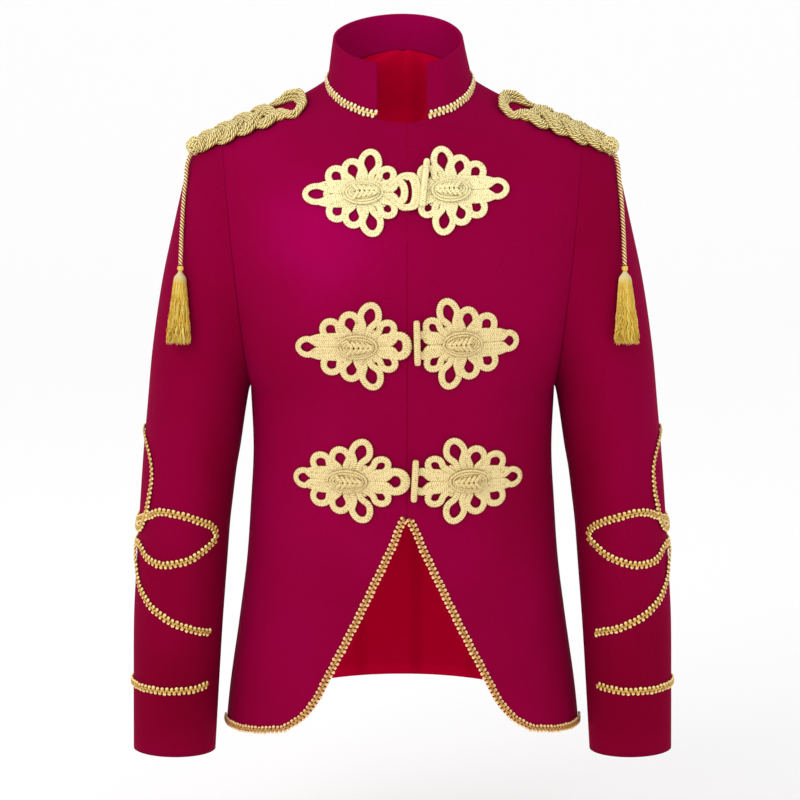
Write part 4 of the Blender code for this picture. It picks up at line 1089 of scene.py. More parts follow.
class Cords:
    """Swept cords gathered into one mesh; each point knows its place along and across its cord, and
    its level of painted light.
    """

    def __init__(self):
        self.points, self.faces, self.runs, self.count = [], [], [], 0

    def add(self, line, ups, wide, high, sides=8, closed=False, twist=0.0, plies=0, dent=0.0,
            ends=None, tint=None, first=0.0):
        """An oval cord along a line. Plies wind round it once in each twist metres, and dent says
        how deep they lie; ends narrows it. Each point keeps a painted light level, lighter on the
        cord's top and in painted shade underneath and in the plies' grooves, and tint takes its
        place."""
        line, ups = np.asarray(line, float), np.asarray(ups, float)
        if closed:
            ways = unit(np.roll(line, -1, axis=0) - np.roll(line, 1, axis=0))
        else:
            ways = unit(np.gradient(line, axis=0))
        side = unit(np.cross(ways, ups))
        up = np.cross(side, ways)
        along = lengths_along(line)
        angles = once_round(sides)
        size = np.ones((len(line), sides))
        # Painted light: lighter on the cord's top, painted shade on its underside
        rise = np.broadcast_to(np.sin(angles), size.shape)
        if plies:
            phase = angles[None] - 2 * np.pi * along[:, None] / twist
            ply = np.abs(np.cos(plies * phase / 2))
            size = 1 - dent + dent * ply
            # Painted shade in the grooves between the plies and on the lower sides
            rise = 2 * ply ** 2.2 - 1 + 0.8 * (np.sin(angles)[None] - 0.55)
        if ends is not None:
            size = size * np.asarray(ends)[:, None]
        x = np.cos(angles) * size * np.broadcast_to(wide, len(line))[:, None]
        y = np.sin(angles) * size * np.broadcast_to(high, len(line))[:, None]
        rings = line[:, None] + side[:, None] * x[..., None] + up[:, None] * y[..., None]
        count, start = len(line), self.count
        self.points.append(rings.reshape(-1, 3))
        run = np.zeros((count, sides, 3))
        run[..., 0] = along[:, None] + first
        run[..., 1] = np.cos(angles)[None]
        run[..., 2] = np.clip(rise if tint is None else tint, -1, 1)
        self.runs.append(run.reshape(-1, 3))
        for i in range(count if closed else count - 1):
            a, b = start + i * sides, start + (i + 1) % count * sides
            for j in range(sides):
                k = (j + 1) % sides
                self.faces.append((a + j, a + k, b + k, b + j))
        if not closed:
            self.faces.append(tuple(start + j for j in reversed(range(sides))))
            last = start + (count - 1) * sides
            self.faces.append(tuple(last + j for j in range(sides)))
        self.count += count * sides

    def piece(self, name, gold, node):
        obj = mesh_object(name, np.vstack(self.points), self.faces, [golds[gold]])
        keep(obj, "run", np.vstack(self.runs))
        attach(obj, "root")
        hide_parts(node)
        return obj


# Gimp braid: a thick cord that swings from edge to edge, turning back in a round lump each
# time, over a thin one along the middle
GIMP_PITCH = 0.0050
GIMP_REACH = 0.0029
GIMP_TURN = 0.0011
GIMP_CORD = 0.0014
GIMP_FLAT = 0.72
GIMP_CROSS = 0.00035
GIMP_STEPS = 18
GIMP_SIDES = 8
GIMP_CORE = 0.0009
GIMP_CORE_WIDE = 1.9
GIMP_CORE_SWAY = 0.0006
GIMP_CORE_STEPS = 5
# How its width wanders: share, rate and start
GIMP_WANDER = ((0.09, 0.37, 1.0), (0.07, 0.83, 0.0))


def gimp(name, route, node, narrow=0.0, gold="gimp_gold"):
    """Gimp braid along the route, narrower by this share at its middle."""
    cords = Cords()
    turns = round(route.length / GIMP_PITCH)
    pitch = route.length / turns
    t = np.linspace(0, turns, turns * GIMP_STEPS)
    turn = 2 * np.pi * t
    along = pitch * t + GIMP_TURN * np.sin(2 * turn)
    lump = np.sin(turn) ** 2
    height = GIMP_CORD * GIMP_FLAT * 0.9 + GIMP_CROSS * (1 + np.cos(2 * turn + 0.9))
    wander = sum(share * np.sin(turn * rate + begin) for share, rate, begin in GIMP_WANDER)
    slim = (1 - narrow * np.exp(-((along / route.length - 0.5) / 0.085) ** 4)) * (1 + wander)
    line, ups = route.at(np.clip(along, 0, route.length), GIMP_REACH * slim * np.sin(turn), height)
    thick = GIMP_CORD * (0.84 + 0.26 * lump) * slim ** 0.5
    # Painted light: a painted highlight on each lump's top, painted shade between the lumps and
    # underneath
    painted_shading = (1.35 * lump ** 2 - 0.5)[:, None] + 0.55 * np.sin(once_round(GIMP_SIDES))
    cords.add(line, ups, thick, thick * GIMP_FLAT, GIMP_SIDES, tint=painted_shading)
    t = np.linspace(0, route.length, turns * GIMP_CORE_STEPS)
    sway = GIMP_CORE_SWAY * np.sin(2 * np.pi * t / pitch)
    line, ups = route.at(t, sway, np.full(len(t), GIMP_CORE))
    # The middle cord is painted darker, as shade under the swinging cord
    cords.add(line, ups, GIMP_CORE * GIMP_CORE_WIDE, GIMP_CORE, 6, tint=-0.3)
    cords.piece(name, gold, node)


# Hem braid: how much its two ends leave free, how far its middle lies in from the edge, and how
# much less near the hem and near the top of the cutaway: from this height, over this distance
HEM_GIMP_ENDS = (0.0006, 0.0008)
HEM_GIMP_INSET = 0.0031
HEM_GIMP_LOW = (-0.655, 0.035, 0.0022)
HEM_GIMP_HIGH = (-0.462, 0.012, 0.0008)


def make_hem_gimp(surface):
    for name, side in SIDES.items():
        fine = front_rows(side, spread(48))
        edge = np.vstack([fine[0][::-1], fine[1:CUT_ROWS + 1, 0]]) * [side, 1, 1]
        lengths = lengths_along(edge)
        marks = np.linspace(HEM_GIMP_ENDS[0], lengths[-1] - HEM_GIMP_ENDS[1], 60)
        middle = sampled(edge, lengths, marks)
        path = []
        for place, way in zip(middle, np.gradient(middle, axis=0)):
            _, normal = surface.nearest(place)
            inset = HEM_GIMP_INSET
            for (start, over, less), down in ((HEM_GIMP_LOW, -1), (HEM_GIMP_HIGH, 1)):
                inset -= less * smooth_step((place[2] - start) * down / over)
            path.append(place + unit(np.cross(way, normal) * side) * inset)
        gimp("gimp_hem_" + name, Route(surface, path), "hem_braid_" + name, gold="gimp_hem")


def make_collar_gimp():
    surface = Surface([collar_grid(120, 12)])
    first = math.asin(COLLAR_END_X / NECK_HALF_WIDTH)
    for name, side in SIDES.items():
        path = []
        for share in np.linspace(0, 1, 30):
            angle = side * (first + (math.pi - 0.02 - first) * share)
            low = collar_point(angle, 0.0, angle)
            high = collar_point(angle, 1.0, angle)
            path.append(low + unit(high - low) * (BRAID_WIDTH / 2 - 0.0006))
        gimp("gimp_collar_" + name, Route(surface, path), "collar_braid_" + name, gold="gimp_pale")


# Braid on the sleeve: how high it lies where it crosses itself, and how much narrower at its top
SCROLL_LIFT = 0.0009
SCROLL_NARROW = 0.45


def make_sleeve_gimp(sleeves):
    route = SCROLL + tuple((ring, -around, 0.0) for ring, around, _ in SCROLL[-2::-1])
    for name, side in SIDES.items():
        sign = np.array([side, 1, 1])
        path = [(*sleeve_point(ring, around) * sign, lift * SCROLL_LIFT)
                for ring, around, lift in route]
        gimp("gimp_scroll_" + name, Route(sleeves[side], path), "sleeve_scroll_" + name,
             narrow=SCROLL_NARROW)
        path = []
        for turn in np.linspace(CUFF_BRAID_FROM, CUFF_BRAID_TO, 30):
            ring = CUFF_BRAID_RING - CUFF_BRAID_RISE * (turn / CUFF_BRAID_TO) ** 4
            path.append(sleeve_point(ring, turn) * sign)
        gimp("gimp_cuff_" + name, Route(sleeves[side], path), "cuff_braid_" + name)


def leaf(anchor, hole, half_along, half_across, band, blunt=1.0, end=None, reach=1.12):
    """Middle line and width of a cord from an anchor round a hole and back to the anchor."""
    anchor, hole = np.array(anchor, float), np.array(hole, float)
    distance = np.linalg.norm(hole - anchor)
    way = (hole - anchor) / distance
    beside = np.array([-way[1], way[0]])
    end = band if end is None else end
    near, wide = band * 0.46, half_across + band / 2
    start = distance - reach * half_along
    u = np.linspace(0, distance, 14)
    leg = near + (wide - near) * smooth_step((u - start) / (distance - start))
    turn = np.linspace(0, math.pi / 2, 12)[1:]
    us = np.concatenate([u, distance + (half_along + end / 2) * np.sin(turn) ** blunt])
    vs = np.concatenate([leg, wide * np.cos(turn)])
    widths = np.concatenate([np.full(14, band), band + (end - band) * np.sin(turn) ** 2])
    half = np.column_stack([anchor + us[:, None] * way + vs[:, None] * beside, widths])
    other = np.column_stack([anchor + us[:, None] * way - vs[:, None] * beside, widths])
    return np.vstack([half, other[::-1][1:]])


# Cords of the frogs: half their height, the step along them and that from layer to layer
FROG_HALF_HIGH = 0.0013
FROG_STEP = 0.0013
LAYER_STEP = 0.0002
# The low cords under the loops: width, rings as shares, and the neck's oval, this far nearer the
# closure than the knot
BODY_CORD = 0.0078
BODY_RINGS = (0.25, 0.55, 0.85)
NECK_BACK_BY = 0.014
NECK_HALF_OUT = 0.0105
NECK_HALF_UP = 0.0165
# The paired loops: where each starts, as a share of the way out, how far back its sides part, how
# much wider its hole is than the solid's, and its cord as a share of the solid's band
LOOP_ROOT = 0.30
PAIRED_REACH = (1.6, 1.6, 1.3, 1.5)
HOLE_WIDEN = 0.0006
LOOP_BAND = 0.95
# The tip and closure loops start this far from the knot's middle
KNOT_FRONT = 0.012

# The loop that meets the toggle on each frog's right half, then left half: how far out its
# hole's middle lies, half the hole's length, and the cord's width past it
CLOSURES = (
    ((0.0110, 0.0041, 0.0078), (0.0182, 0.0020, 0.0060)),
    ((0.0139, 0.0055, 0.0100), (0.0136, 0.0050, 0.0037)),
    ((0.0152, 0.0075, 0.0105), (0.0152, 0.0075, 0.0024)),
)
# The hole of each tip loop: half its length, how far back its sides part, and how much nearer
# the closure it lies than in the even pattern; right half, then left half
TIP_HOLES = (
    ((0.0088, 2.0, 0.0), (0.0074, 1.5, 0.0)),
    ((0.0068, 1.5, 0.0), (0.0054, 1.3, 0.0026)),
    ((0.0058, 1.3, 0.0), (0.0060, 1.3, 0.0)),
)
# The two cords of each leg of the tip loop: how far past the knot, the bend or the tip each point
# lies, how far up, and the cord's width
OUTER_LEG = (
    ("knot", 0.010, 0.0114, 0.0062),
    ("knot", 0.020, 0.0114, 0.0062),
    ("bend", -0.004, 0.0106, 0.0060),
    ("bend", 0.004, 0.0090, 0.0050),
    ("tip", 0.001, 0.0080, 0.0040),
)
INNER_LEG = (
    ("knot", 0.012, 0.0070, 0.0070),
    ("knot", 0.022, 0.0068, 0.0070),
    ("bend", -0.004, 0.0068, 0.0068),
    ("bend", 0.001, 0.0078, 0.0056),
)
# The hook over the top toggle, two more cords on the right half: where the hole lies, half its
# length and height, the cord's width, how square the bend is, how far back the sides part, and
# how many layers up it lies
HOOK = (
    (0.0034, 0.0076, 0.0126, 0.0072, 0.6, 2.2, 9),
    (0.0010, 0.0110, 0.0156, 0.0040, 0.5, 2.4, 15),
)


def frog_layers(which, side):
    """Flat lines, widths and lifts of the cords of half a frog, lowest first, and whether each
    is a closed ring."""
    knot, tip = KNOT_OUT[which], TIP_OUT[which]
    ends = {"knot": knot, "bend": tip - TIP_HALF_OUT, "tip": tip}
    angle = once_round(60)
    layers = []
    for share in BODY_RINGS:
        for middle, half_out, half_up in ((BODY_OUT[which], BODY_HALF_OUT, BODY_HALF_UP),
                                          (knot - NECK_BACK_BY, NECK_HALF_OUT, NECK_HALF_UP)):
            oval = np.column_stack([middle + half_out * share * np.cos(angle),
                                    half_up * share * np.sin(angle), np.full(60, BODY_CORD)])
            layers.append((oval, -2, True))
    for row, reach in zip(PAIRED_LOOPS, PAIRED_REACH):
        out, up, half_out, half_up, band = (row[which], *row[3:])
        for way in (1, -1):
            flat = leaf((knot + (out - knot) * LOOP_ROOT, 0.0), (out, up * way),
                        half_up + HOLE_WIDEN, half_out + HOLE_WIDEN,
                        band * LOOP_BAND - HOLE_WIDEN, reach=reach)
            layers.append((flat, len(layers) - 2 * len(BODY_RINGS), False))
    for way in (1, -1):
        for leg, layer in ((OUTER_LEG, 2), (INNER_LEG, 1)):
            line = np.array([(ends[end] + past, up * way, wide) for end, past, up, wide in leg])
            layers.append((spaced_path(line, FROG_STEP), layer, False))
    half, reach, shift = TIP_HOLES[which][side > 0]
    hole = tip + TIP_HALF_OUT - half - shift
    flat = leaf((knot + KNOT_FRONT, 0), (hole, 0), half, TIP_HALF_UP, TIP_BAND, reach=reach)
    layers.append((flat, 3, False))
    root = (knot - KNOT_FRONT, 0)
    hole, half, band = CLOSURES[which][side > 0]
    flat = leaf(root, (hole, 0), half, END_HALF_UP, END_BAND, 0.75, band)
    layers.append((flat, 6, False))
    if which == 0 and side < 0:
        for hole, half_out, half_up, band, blunt, reach, layer in HOOK:
            flat = leaf(root, (hole, 0), half_out, half_up, band, blunt, reach=reach)
            layers.append((flat, layer, False))
    return layers


# How far out and up each half reaches, as a share of the even pattern: right half, then left half
FROG_FIT = (
    ((1.0, 0.955), (0.965, 0.97)),
    ((1.0, 1.0), (0.96, 1.04)),
    ((1.0, 0.99), (1.0, 1.01)),
)


def make_frogs(surface):
    for which, (frog, x, z, turn, *toggle) in enumerate(FROGS):
        lean = math.radians(turn)
        floor = TRIM_GAP + FROG_HALF_HIGH
        for name, side in SIDES.items():
            def laid(flat, heights):
                """Flat frog points carried onto the chest at these heights."""
                seats = []
                for out, up in flat[:, :2] * FROG_FIT[which][side > 0]:
                    across = side * out * math.cos(lean) - up * math.sin(lean)
                    rise = side * out * math.sin(lean) + up * math.cos(lean)
                    seats.append(surface.from_front(x + across, z + rise))
                points, ups = lifted(seats, heights)
                return points, smoothed(ups, 3)

            cords = Cords()
            for flat, layer, closed in frog_layers(which, side):
                flat = even(flat, FROG_STEP)
                line, ups = laid(flat, floor + layer * LAYER_STEP)
                cords.add(line, ups, flat[:, 2] / 2, FROG_HALF_HIGH, 10, closed)
            make_knot(cords, laid, KNOT_OUT[which], floor)
            gold = "frog_pale" if which == 0 else "frog_gold"
            cords.piece(f"cord_frog_{frog}_{name}", gold, f"frog_{frog}_{name}")
        make_toggle(frog, x, z, surface, gold, *toggle)


# The knot of half a frog: half its size out and up, its height, the ovals of cord at its outer
# end, and the plait of paired strands towards the closure
KNOT_HALF_OUT = 0.0225
KNOT_HALF_UP = 0.0130
KNOT_HIGH = 0.0060
KNOT_LOW = 0.0006
KNOT_RINGS = ((0.0192, 0.0108), (0.0161, 0.0081), (0.0130, 0.0054), (0.0099, 0.0027))
KNOT_RING_CORD = (0.0016, 0.0022)
KNOT_PAIRS = 5
KNOT_PAIR_STEP = 0.0048
KNOT_PAIR_START = 0.0030
KNOT_STRAND = (0.0064, 0.0078)
KNOT_STRAND_CORD = (0.00205, 0.0028)
KNOT_SIDES = 12


def make_knot(cords, laid, knot_out, floor):
    """Woven oval: rings at its outer end, and a plait of paired strands towards the closure."""
    # Painted light on the knot's cords: lighter on top, painted shade on the rings' sides, and each
    # plait strand darker towards its end
    lit = 1.6 * np.sin(once_round(KNOT_SIDES))

    def dome(out, up):
        inside = 1 - ((out - knot_out) / KNOT_HALF_OUT) ** 2 - (up / KNOT_HALF_UP) ** 2
        return KNOT_LOW + KNOT_HIGH * np.sqrt(np.clip(inside, 0, 1))

    angle = once_round(72)
    for half_out, half_up in KNOT_RINGS:
        flat = np.column_stack([knot_out + half_out * np.cos(angle), half_up * np.sin(angle)])
        line, ups = laid(flat, floor + dome(flat[:, 0], flat[:, 1]))
        cords.add(line, ups, *KNOT_RING_CORD, KNOT_SIDES, True, tint=lit - 0.65)
    share = np.linspace(0, 1, 9)
    ends = np.sqrt(np.clip(1 - (2 * share - 1) ** 6, 0.05, 1))
    painted_shading = lit - 0.45 - 0.6 * share[:, None] ** 3
    long, wide = KNOT_STRAND
    for i in range(KNOT_PAIRS):
        start = knot_out + KNOT_PAIR_START - i * KNOT_PAIR_STEP
        for way in (-1, 1):
            up = way * (wide * (1 - i / 9) * share - 0.0004)
            flat = np.column_stack([start + long * share, up])
            lift = dome(flat[:, 0], flat[:, 1]) + 0.0044 - 0.0022 * share ** 2 + 0.0002 * way
            line, ups = laid(flat, floor + lift)
            cords.add(line, ups, *KNOT_STRAND_CORD, KNOT_SIDES, ends=ends, tint=painted_shading)


# Pitch of the cord wound round a toggle
TOGGLE_WIND = 0.0013


def make_toggle(frog, x, z, surface, gold, toggle_x, toggle_z, lean, half):
    """A bar wound with cord from end to end."""
    shares = np.linspace(-1, 1, 180)
    aside = math.sin(math.radians(lean))
    seats = [surface.from_front(x + toggle_x + half * share * aside, z + toggle_z + half * share)
             for share in shares]
    points, ups = lifted(seats, TRIM_GAP + FROG_THICK + TOGGLE_GAP + TOGGLE_RADIUS)
    wound = 0.94 + 0.06 * np.abs(np.sin(shares * half * np.pi / TOGGLE_WIND))
    ends = np.sqrt(np.clip(1 - np.abs(shares) ** 18, 0.01, 1)) * wound
    cords = Cords()
    cords.add(smoothed(points, 9), smoothed(ups, 9), TOGGLE_RADIUS, TOGGLE_RADIUS, 16, ends=ends)
    cords.piece("wrapped_toggle_" + frog, gold, "toggle_" + frog)


# Epaulette: a strand folded round an eye near the neck and a third one, plaited to the tip. Each
# strand is a row of ropes, twisted from plies
ROPE = 0.0020
ROPES = 4
ROPE_TWIST = 0.0150
ROPE_STEP = 0.0008
ROPE_PLIES = {"plies": 4, "dent": 0.36}
PLAIT_TURN = 0.062
PLAIT_FROM = 0.0415
PLAIT_LIFT = 0.0017
PLAIT_BASE = 0.0044
PLAIT_STEP = 0.001
# From where, beside PLAIT_FROM, and over what length the strands swing and cross
SWING_BLEND = (-0.018, 0.022)
CROSS_BLEND = (-0.004, 0.016)
# The eye: places of the strands beside it, as shares of the half width, and its bend
EYE_ASIDE = (0.66, -1.0, -0.55)
EYE_LIFT = 0.0020
EYE_BEND = 0.0235
EYE_ROUND = 0.62
# How much the ropes bunch there and how high their rim stands, about a place and over a length
BUNCH = (0.40, 0.022, 0.020)
EYE_RIM = (0.0068, 0.012, 0.020)
# How each rope wanders up and down, then sideways: turns a metre as an angle, the shift from
# rope to rope, and how far
WANDER_OUT = ((380.0, 2.1, 0.00025), (760.0, 1.3, 0.0002))
WANDER_ASIDE = ((300.0, 2.7, 0.0003), (640.0, 4.1, 0.0002))
# The knot at the tip: how far along it lies, its radius and the spacing of its rings
BALL_AT = 0.1290
BALL_RADIUS = 0.0084
BALL_SPACING = 0.0044


def plait_row(strand, along):
    """Distance along, place across and lift of a strand: 0 behind, 1 in front, 2 the third."""
    reach = epaulette_at(along / EPAULETTE_LENGTH)[0] - ROPE * ROPES
    phase = math.pi / 2 + strand * 2 * math.pi / 3 + 2 * math.pi * (along - PLAIT_FROM) / PLAIT_TURN
    plaited = smooth_step((along - PLAIT_FROM - SWING_BLEND[0]) / SWING_BLEND[1])
    aside = EYE_ASIDE[strand] * reach
    across = aside + (reach * math.sin(phase) - aside) * plaited
    woven = smooth_step((along - PLAIT_FROM - CROSS_BLEND[0]) / CROSS_BLEND[1])
    lift = EYE_LIFT + (PLAIT_BASE - EYE_LIFT + PLAIT_LIFT * math.sin(2 * phase)) * woven
    return along, across, lift


def plait_lines():
    """The folded strand from tip to tip round the eye, and the third strand."""
    tip = BALL_AT + 0.002
    marks = np.arange(EYE_BEND, tip, PLAIT_STEP)
    back, front = ([plait_row(strand, mark) for mark in marks] for strand in (0, 1))
    middle, radius = (back[0][1] + front[0][1]) / 2, (back[0][1] - front[0][1]) / 2
    bend = [(EYE_BEND - EYE_BEND * EYE_ROUND * math.sin(t), middle + radius * math.cos(t), EYE_LIFT)
            for t in np.linspace(0, math.pi, 26)[1:-1]]
    third = [plait_row(2, mark) for mark in np.arange(PLAIT_FROM - 0.012, tip, PLAIT_STEP)]
    return np.array(back[::-1] + bend + front), np.array(third)


def swayed(mark, table, shift):
    """Each wave of the table at these marks, and their sum as a distance."""
    waves = [np.sin(mark * rate + shift[0] * phase + shift[1]) for rate, phase, _ in table]
    return waves, sum(wave * row[2] for wave, row in zip(waves, table))


def add_ropes(cords, rows, line, ups, turn, side):
    """The ropes of one strand side by side, bunched and raised round the eye."""
    beside = unit(np.cross(np.gradient(line, axis=0), ups))
    near_bunch, near_rim = (np.exp(-((rows[:, 0] - place) / over) ** 2)
                            for _, place, over in (BUNCH, EYE_RIM))
    close = (BUNCH[0] * near_bunch)[:, None]
    rim = smoothed((near_rim * (rows[:, 1] > -0.012))[:, None], 15) * EYE_RIM[0]
    for i in range(ROPES):
        off = (i - (ROPES - 1) / 2) / (ROPES / 2)
        rope = line + beside * off * ROPE * ROPES * (1 - close)
        rope = rope + ups * ROPE * (1.1 + 3 * close) * (0.5 - off * off)
        if turn == 0:
            rope = rope + ups * (rim * max(0.0, off * side + 0.3))
        rope = even(np.column_stack([rope, smoothed(ups, 3)]), ROPE_STEP)
        mark = np.arange(len(rope)) * ROPE_STEP
        place, out = rope[:, :3], rope[:, 3:]
        aside = unit(np.cross(np.gradient(place, axis=0), out))
        waves, up_by = swayed(mark, WANDER_OUT, (i, turn))
        _, aside_by = swayed(mark, WANDER_ASIDE, (i, turn))
        place = place + out * up_by[:, None] + aside * aside_by[:, None]
        thick = ROPE * (1.12 + 0.06 * waves[1])
        cords.add(place, out, thick, thick, 12, twist=ROPE_TWIST, **ROPE_PLIES)


def add_ball(cords, centre, way, up):
    """The knot at the tip: rings of rope wound over one another."""
    beside = np.cross(way, up)
    turns = once_round(66)[:, None]
    for first, second in ((way, up), (beside, way + 0.35 * up), (way + beside, up),
                          (way - beside, up)):
        first = unit(first)
        third = unit(np.cross(first, second))
        second = np.cross(third, first)
        out = first * np.cos(turns) + second * np.sin(turns)
        for row in (-1, 0, 1):
            off = row * BALL_SPACING
            radius = math.sqrt(BALL_RADIUS ** 2 - off ** 2) + 0.0002 * row
            thick = ROPE * (0.98 + 0.08 * np.sin(3 * turns[:, 0] + 900 * off))
            cords.add(centre + third * off + out * radius, out, thick, thick, 12, True,
                      twist=2 * math.pi * radius / 3, **ROPE_PLIES)


def make_epaulettes(fronts, back):
    ridge = shoulder_line()
    for name, side in SIDES.items():
        sign = np.array([side, 1, 1])
        behind = leaned(mirrored(back[:, ::-1], side))
        surface = Surface([fronts[side], behind, sleeve_head(side)])

        def laid(rows):
            """Points on the shoulder for rows of distance along, place across and lift."""
            seats = []
            for along, across, _ in rows:
                _, forward = epaulette_at(along / EPAULETTE_LENGTH)
                here, _, up = ridge(along)
                here = here + [0, EPAULETTE_FORWARD + forward + across, 0]
                place, normal = surface.along((here + up * 0.08) * sign, -up * sign,
                                              (here - up * 0.02) * sign)
                seats.append((place, normal if np.dot(normal, up * sign) > 0 else -normal))
            points, ups = lifted(seats, np.array(rows)[:, 2])
            return smoothed(points, 7), unit(smoothed(ups, 9))

        cords = Cords()
        for turn, rows in enumerate(plait_lines()):
            add_ropes(cords, rows, *laid(rows), turn, side)
        ball, ups = laid(np.array([plait_row(2, BALL_AT)] * 9) * [1, 0, 1])
        add_ball(cords, ball[4] + ups[4] * 0.0020, ridge(BALL_AT)[1] * sign, ups[4])
        cords.piece("plaited_epaulette_" + name, "plait_gold",
                    "epaulette_" + name)


# Tassel: how far below the cord's end and how wide its threads lie
SKIRT_COLUMNS = ("drop", "radius")
SKIRT = (
    (0.0066, 0.0014),
    (0.0086, 0.0026),
    (0.0112, 0.0049),
    (0.0145, 0.0062),
    (0.0195, 0.0067),
    (0.0330, 0.0078),
    (0.0580, 0.0100),
    (0.0860, 0.0122),
)
skirt_at = curve_through(SKIRT, SKIRT_COLUMNS, "drop")
# The windings of its neck: radius, from and to how far below the cord's end, turns and thickness
NECK_WINDS = ((0.0019, 0.0018, 0.0048, 2.4, 0.0014), (0.0015, 0.0058, 0.0078, 1.6, 0.0008))
# Threads in each layer, and how far out it lies as a share of the skirt's radius
THREADS = ((170, 1.0), (110, 0.72), (70, 0.40))
THREAD = 0.00042
THREAD_TOP = 0.0066
HEAD_LOW = 0.0195
# Where and over what length the threads come loose, how far they drift round and wave
LOOSE_FROM = 0.018
LOOSE_OVER = 0.065
DRIFT = 0.17
WAVE = 0.0018
CUT_SHORT = (-0.0110, -0.0055, -0.0030, -0.0010)
TASSEL_CLEAR = 0.0010
CORD_TWIST = 0.0108


def clear_of(sleeve, side, point):
    """The point, moved out where it would come closer to the sleeve than a thread's width."""
    place, normal = sleeve.nearest(point)
    if normal[0] * side < 0:
        normal = -normal
    height = np.dot(point - place, normal)
    return point + normal * max(0.0, TASSEL_CLEAR - height)


def make_tassel(name, side, top, way, sleeve, chance):
    """Wound neck, domed head and a skirt of loose threads that ends unevenly."""
    across = unit(np.cross(way, [0, 1, 0]))
    front = np.cross(way, across)
    cords = Cords()

    def ring(angle):
        return across * np.cos(angle)[:, None] + front * np.sin(angle)[:, None]

    for radius, first, last, turns, thick in NECK_WINDS:
        share = np.linspace(0, 1, int(60 * turns))
        out = ring(2 * np.pi * turns * share)
        line = top + way * (first + (last - first) * share)[:, None] + out * radius
        cords.add(line, out, thick, thick, 9, twist=0.0042, plies=3, dent=0.3, first=0.08)
    for count, part in THREADS:
        for i in range(count):
            start = 2 * math.pi * (i + chance.uniform(-0.5, 0.5)) / count
            length = TASSEL_LENGTH + chance.choice(CUT_SHORT) - chance.uniform(0, 0.002)
            drops = np.concatenate([np.linspace(THREAD_TOP, HEAD_LOW, 9)[:-1],
                                    np.linspace(HEAD_LOW, length, 13)])
            loose = np.clip((drops - LOOSE_FROM) / LOOSE_OVER, 0, 1)
            radii = np.array([skirt_at(drop)[0] for drop in drops])
            radii = radii * (1 - (1 - part) * smooth_step(loose * 3 + 0.35))
            drift = chance.normal(0, DRIFT) * loose ** 1.3
            wave = np.sin(drops * chance.uniform(180, 520) + chance.uniform(0, 6))
            wave = WAVE * loose ** 0.7 * wave
            angle = start + drift + wave / np.maximum(radii, 0.002)
            radii = radii + wave * 0.6 + chance.normal(0, 0.0006) * loose
            line = top + way * drops[:, None] + ring(angle) * radii[:, None]
            line = np.array([clear_of(sleeve, side, point) for point in line])
            thick = THREAD * (1 + 0.5 * loose) * np.where(drops >= length - 1e-9, 0.4, 1)
            cords.add(line, ring(angle), thick, thick, 3, tint=chance.normal(0.1, 0.45))
    return cords.piece("thread_tassel_" + name, "thread_gold", "tassel_" + name)


def make_cords_and_tassels(sleeves):
    chance = np.random.RandomState(7)
    for name, side in SIDES.items():
        sign = np.array([side, 1, 1])
        way = np.array(TASSEL_WAY) / np.linalg.norm(TASSEL_WAY) * sign
        top = np.array(CORD_ROUTE[-1]) * sign + way * TASSEL_GAP
        tassel = make_tassel(name, side, top, way, sleeves[side], chance)
        route = np.vstack([CORD_ROOT, spaced_path(CORD_ROUTE, 0.0004)]) * sign
        route = even(route, 0.0005)
        cords = Cords()
        cords.add(route, np.tile([0.0, -1.0, 0.3], (len(route), 1)), CORD_RADIUS, CORD_RADIUS, 15,
                  twist=CORD_TWIST, plies=3, dent=0.40)
        cord = cords.piece("twisted_cord_" + name, "cord_gold",
                           "epaulette_cord_" + name)
        path = even(route, 0.006)
        float(lengths_along(route)[-1])


fronts = make_fronts()
back = make_backs()
make_collar()
sleeves = make_sleeves()
chest = Surface(fronts.values())
make_hem_gimp(chest)
make_collar_gimp()
make_sleeve_gimp(sleeves)
make_frogs(chest)
make_epaulettes(fronts, back)
make_cords_and_tassels(sleeves)


# Floor and backdrop
FLOOR_Z = -0.90
FLOOR_HALF_WIDTH = 7.0
FLOOR_FRONT = -7.0
WALL_BEND = 1.5
WALL_FROM = 5.0
WALL_TOP = 6.0
WHITE = (1.0, 1.0, 1.0)

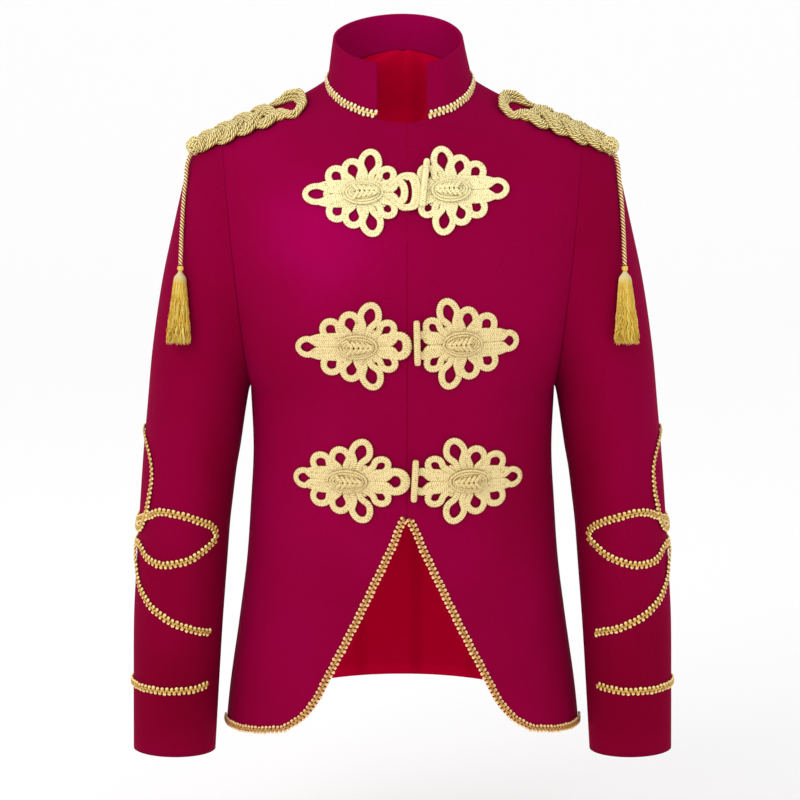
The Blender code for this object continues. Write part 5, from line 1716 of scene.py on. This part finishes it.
# Soft lights: name, place, target, size and power
LIGHTS = (
    ("key", (-1.6, -2.2, 1.3), (0, 0, -0.3), 1.6, 26),
    ("fill", (2.0, -2.4, 0.4), (0, 0, -0.35), 2.0, 6),
    ("inside", (0, -0.045, -0.170), (0, 0.09, -0.07), 0.05, 0.052),
)
WORLD_STRENGTH = 0.95

# Camera at the height and distance of the photograph
CAMERA_PLACE = (-0.00265, -2.963065, 0.128810)
CAMERA_TILT = 81
CAMERA_LENS = 127.36
CAMERA_SENSOR = 36
CAMERA_REACH = 50


def make_stage():
    """A pale floor that curves up into a backdrop."""
    turns = np.linspace(0, math.pi / 2, 16)
    bend = [(WALL_FROM + WALL_BEND * math.sin(turn), WALL_BEND - WALL_BEND * math.cos(turn))
            for turn in turns]
    profile = [(FLOOR_FRONT, 0.0)] + bend + [(WALL_FROM + WALL_BEND, WALL_TOP)]
    points = [(x, y, z + FLOOR_Z) for x in (-FLOOR_HALF_WIDTH, FLOOR_HALF_WIDTH)
              for y, z in profile]
    count = len(profile)
    faces = [(i, i + count, i + 1 + count, i + 1) for i in range(count - 1)]
    pale = Shader("floor", WHITE, 0.9, Specular_IOR_Level=0.1).made
    mesh_object("floor", points, faces, [pale])


def make_view():
    """Camera, soft light mostly from the upper left, and a white world."""
    camera = bpy.data.cameras.new("camera")
    camera.lens, camera.sensor_width = CAMERA_LENS, CAMERA_SENSOR
    camera.clip_end = CAMERA_REACH
    obj = bpy.data.objects.new("camera", camera)
    obj.location = CAMERA_PLACE
    obj.rotation_euler = (math.radians(CAMERA_TILT), 0, 0)
    bpy.context.scene.collection.objects.link(obj)
    bpy.context.scene.camera = obj
    for name, place, target, size, power in LIGHTS:
        light = bpy.data.lights.new(name, "AREA")
        light.energy, light.size = power, size
        obj = bpy.data.objects.new(name, light)
        obj.location = place
        way = Vector(target) - Vector(place)
        obj.rotation_euler = way.to_track_quat("-Z", "Y").to_euler()
        obj.visible_camera = False
        bpy.context.scene.collection.objects.link(obj)
    bpy.context.scene.view_settings.view_transform = "Standard"
    world = bpy.data.worlds.new("world")
    bpy.context.scene.world = world
    world.use_nodes = True
    sky = world.node_tree.nodes["Background"]
    sky.inputs["Color"].default_value = (*WHITE, 1)
    sky.inputs["Strength"].default_value = WORLD_STRENGTH


make_stage()
make_view()
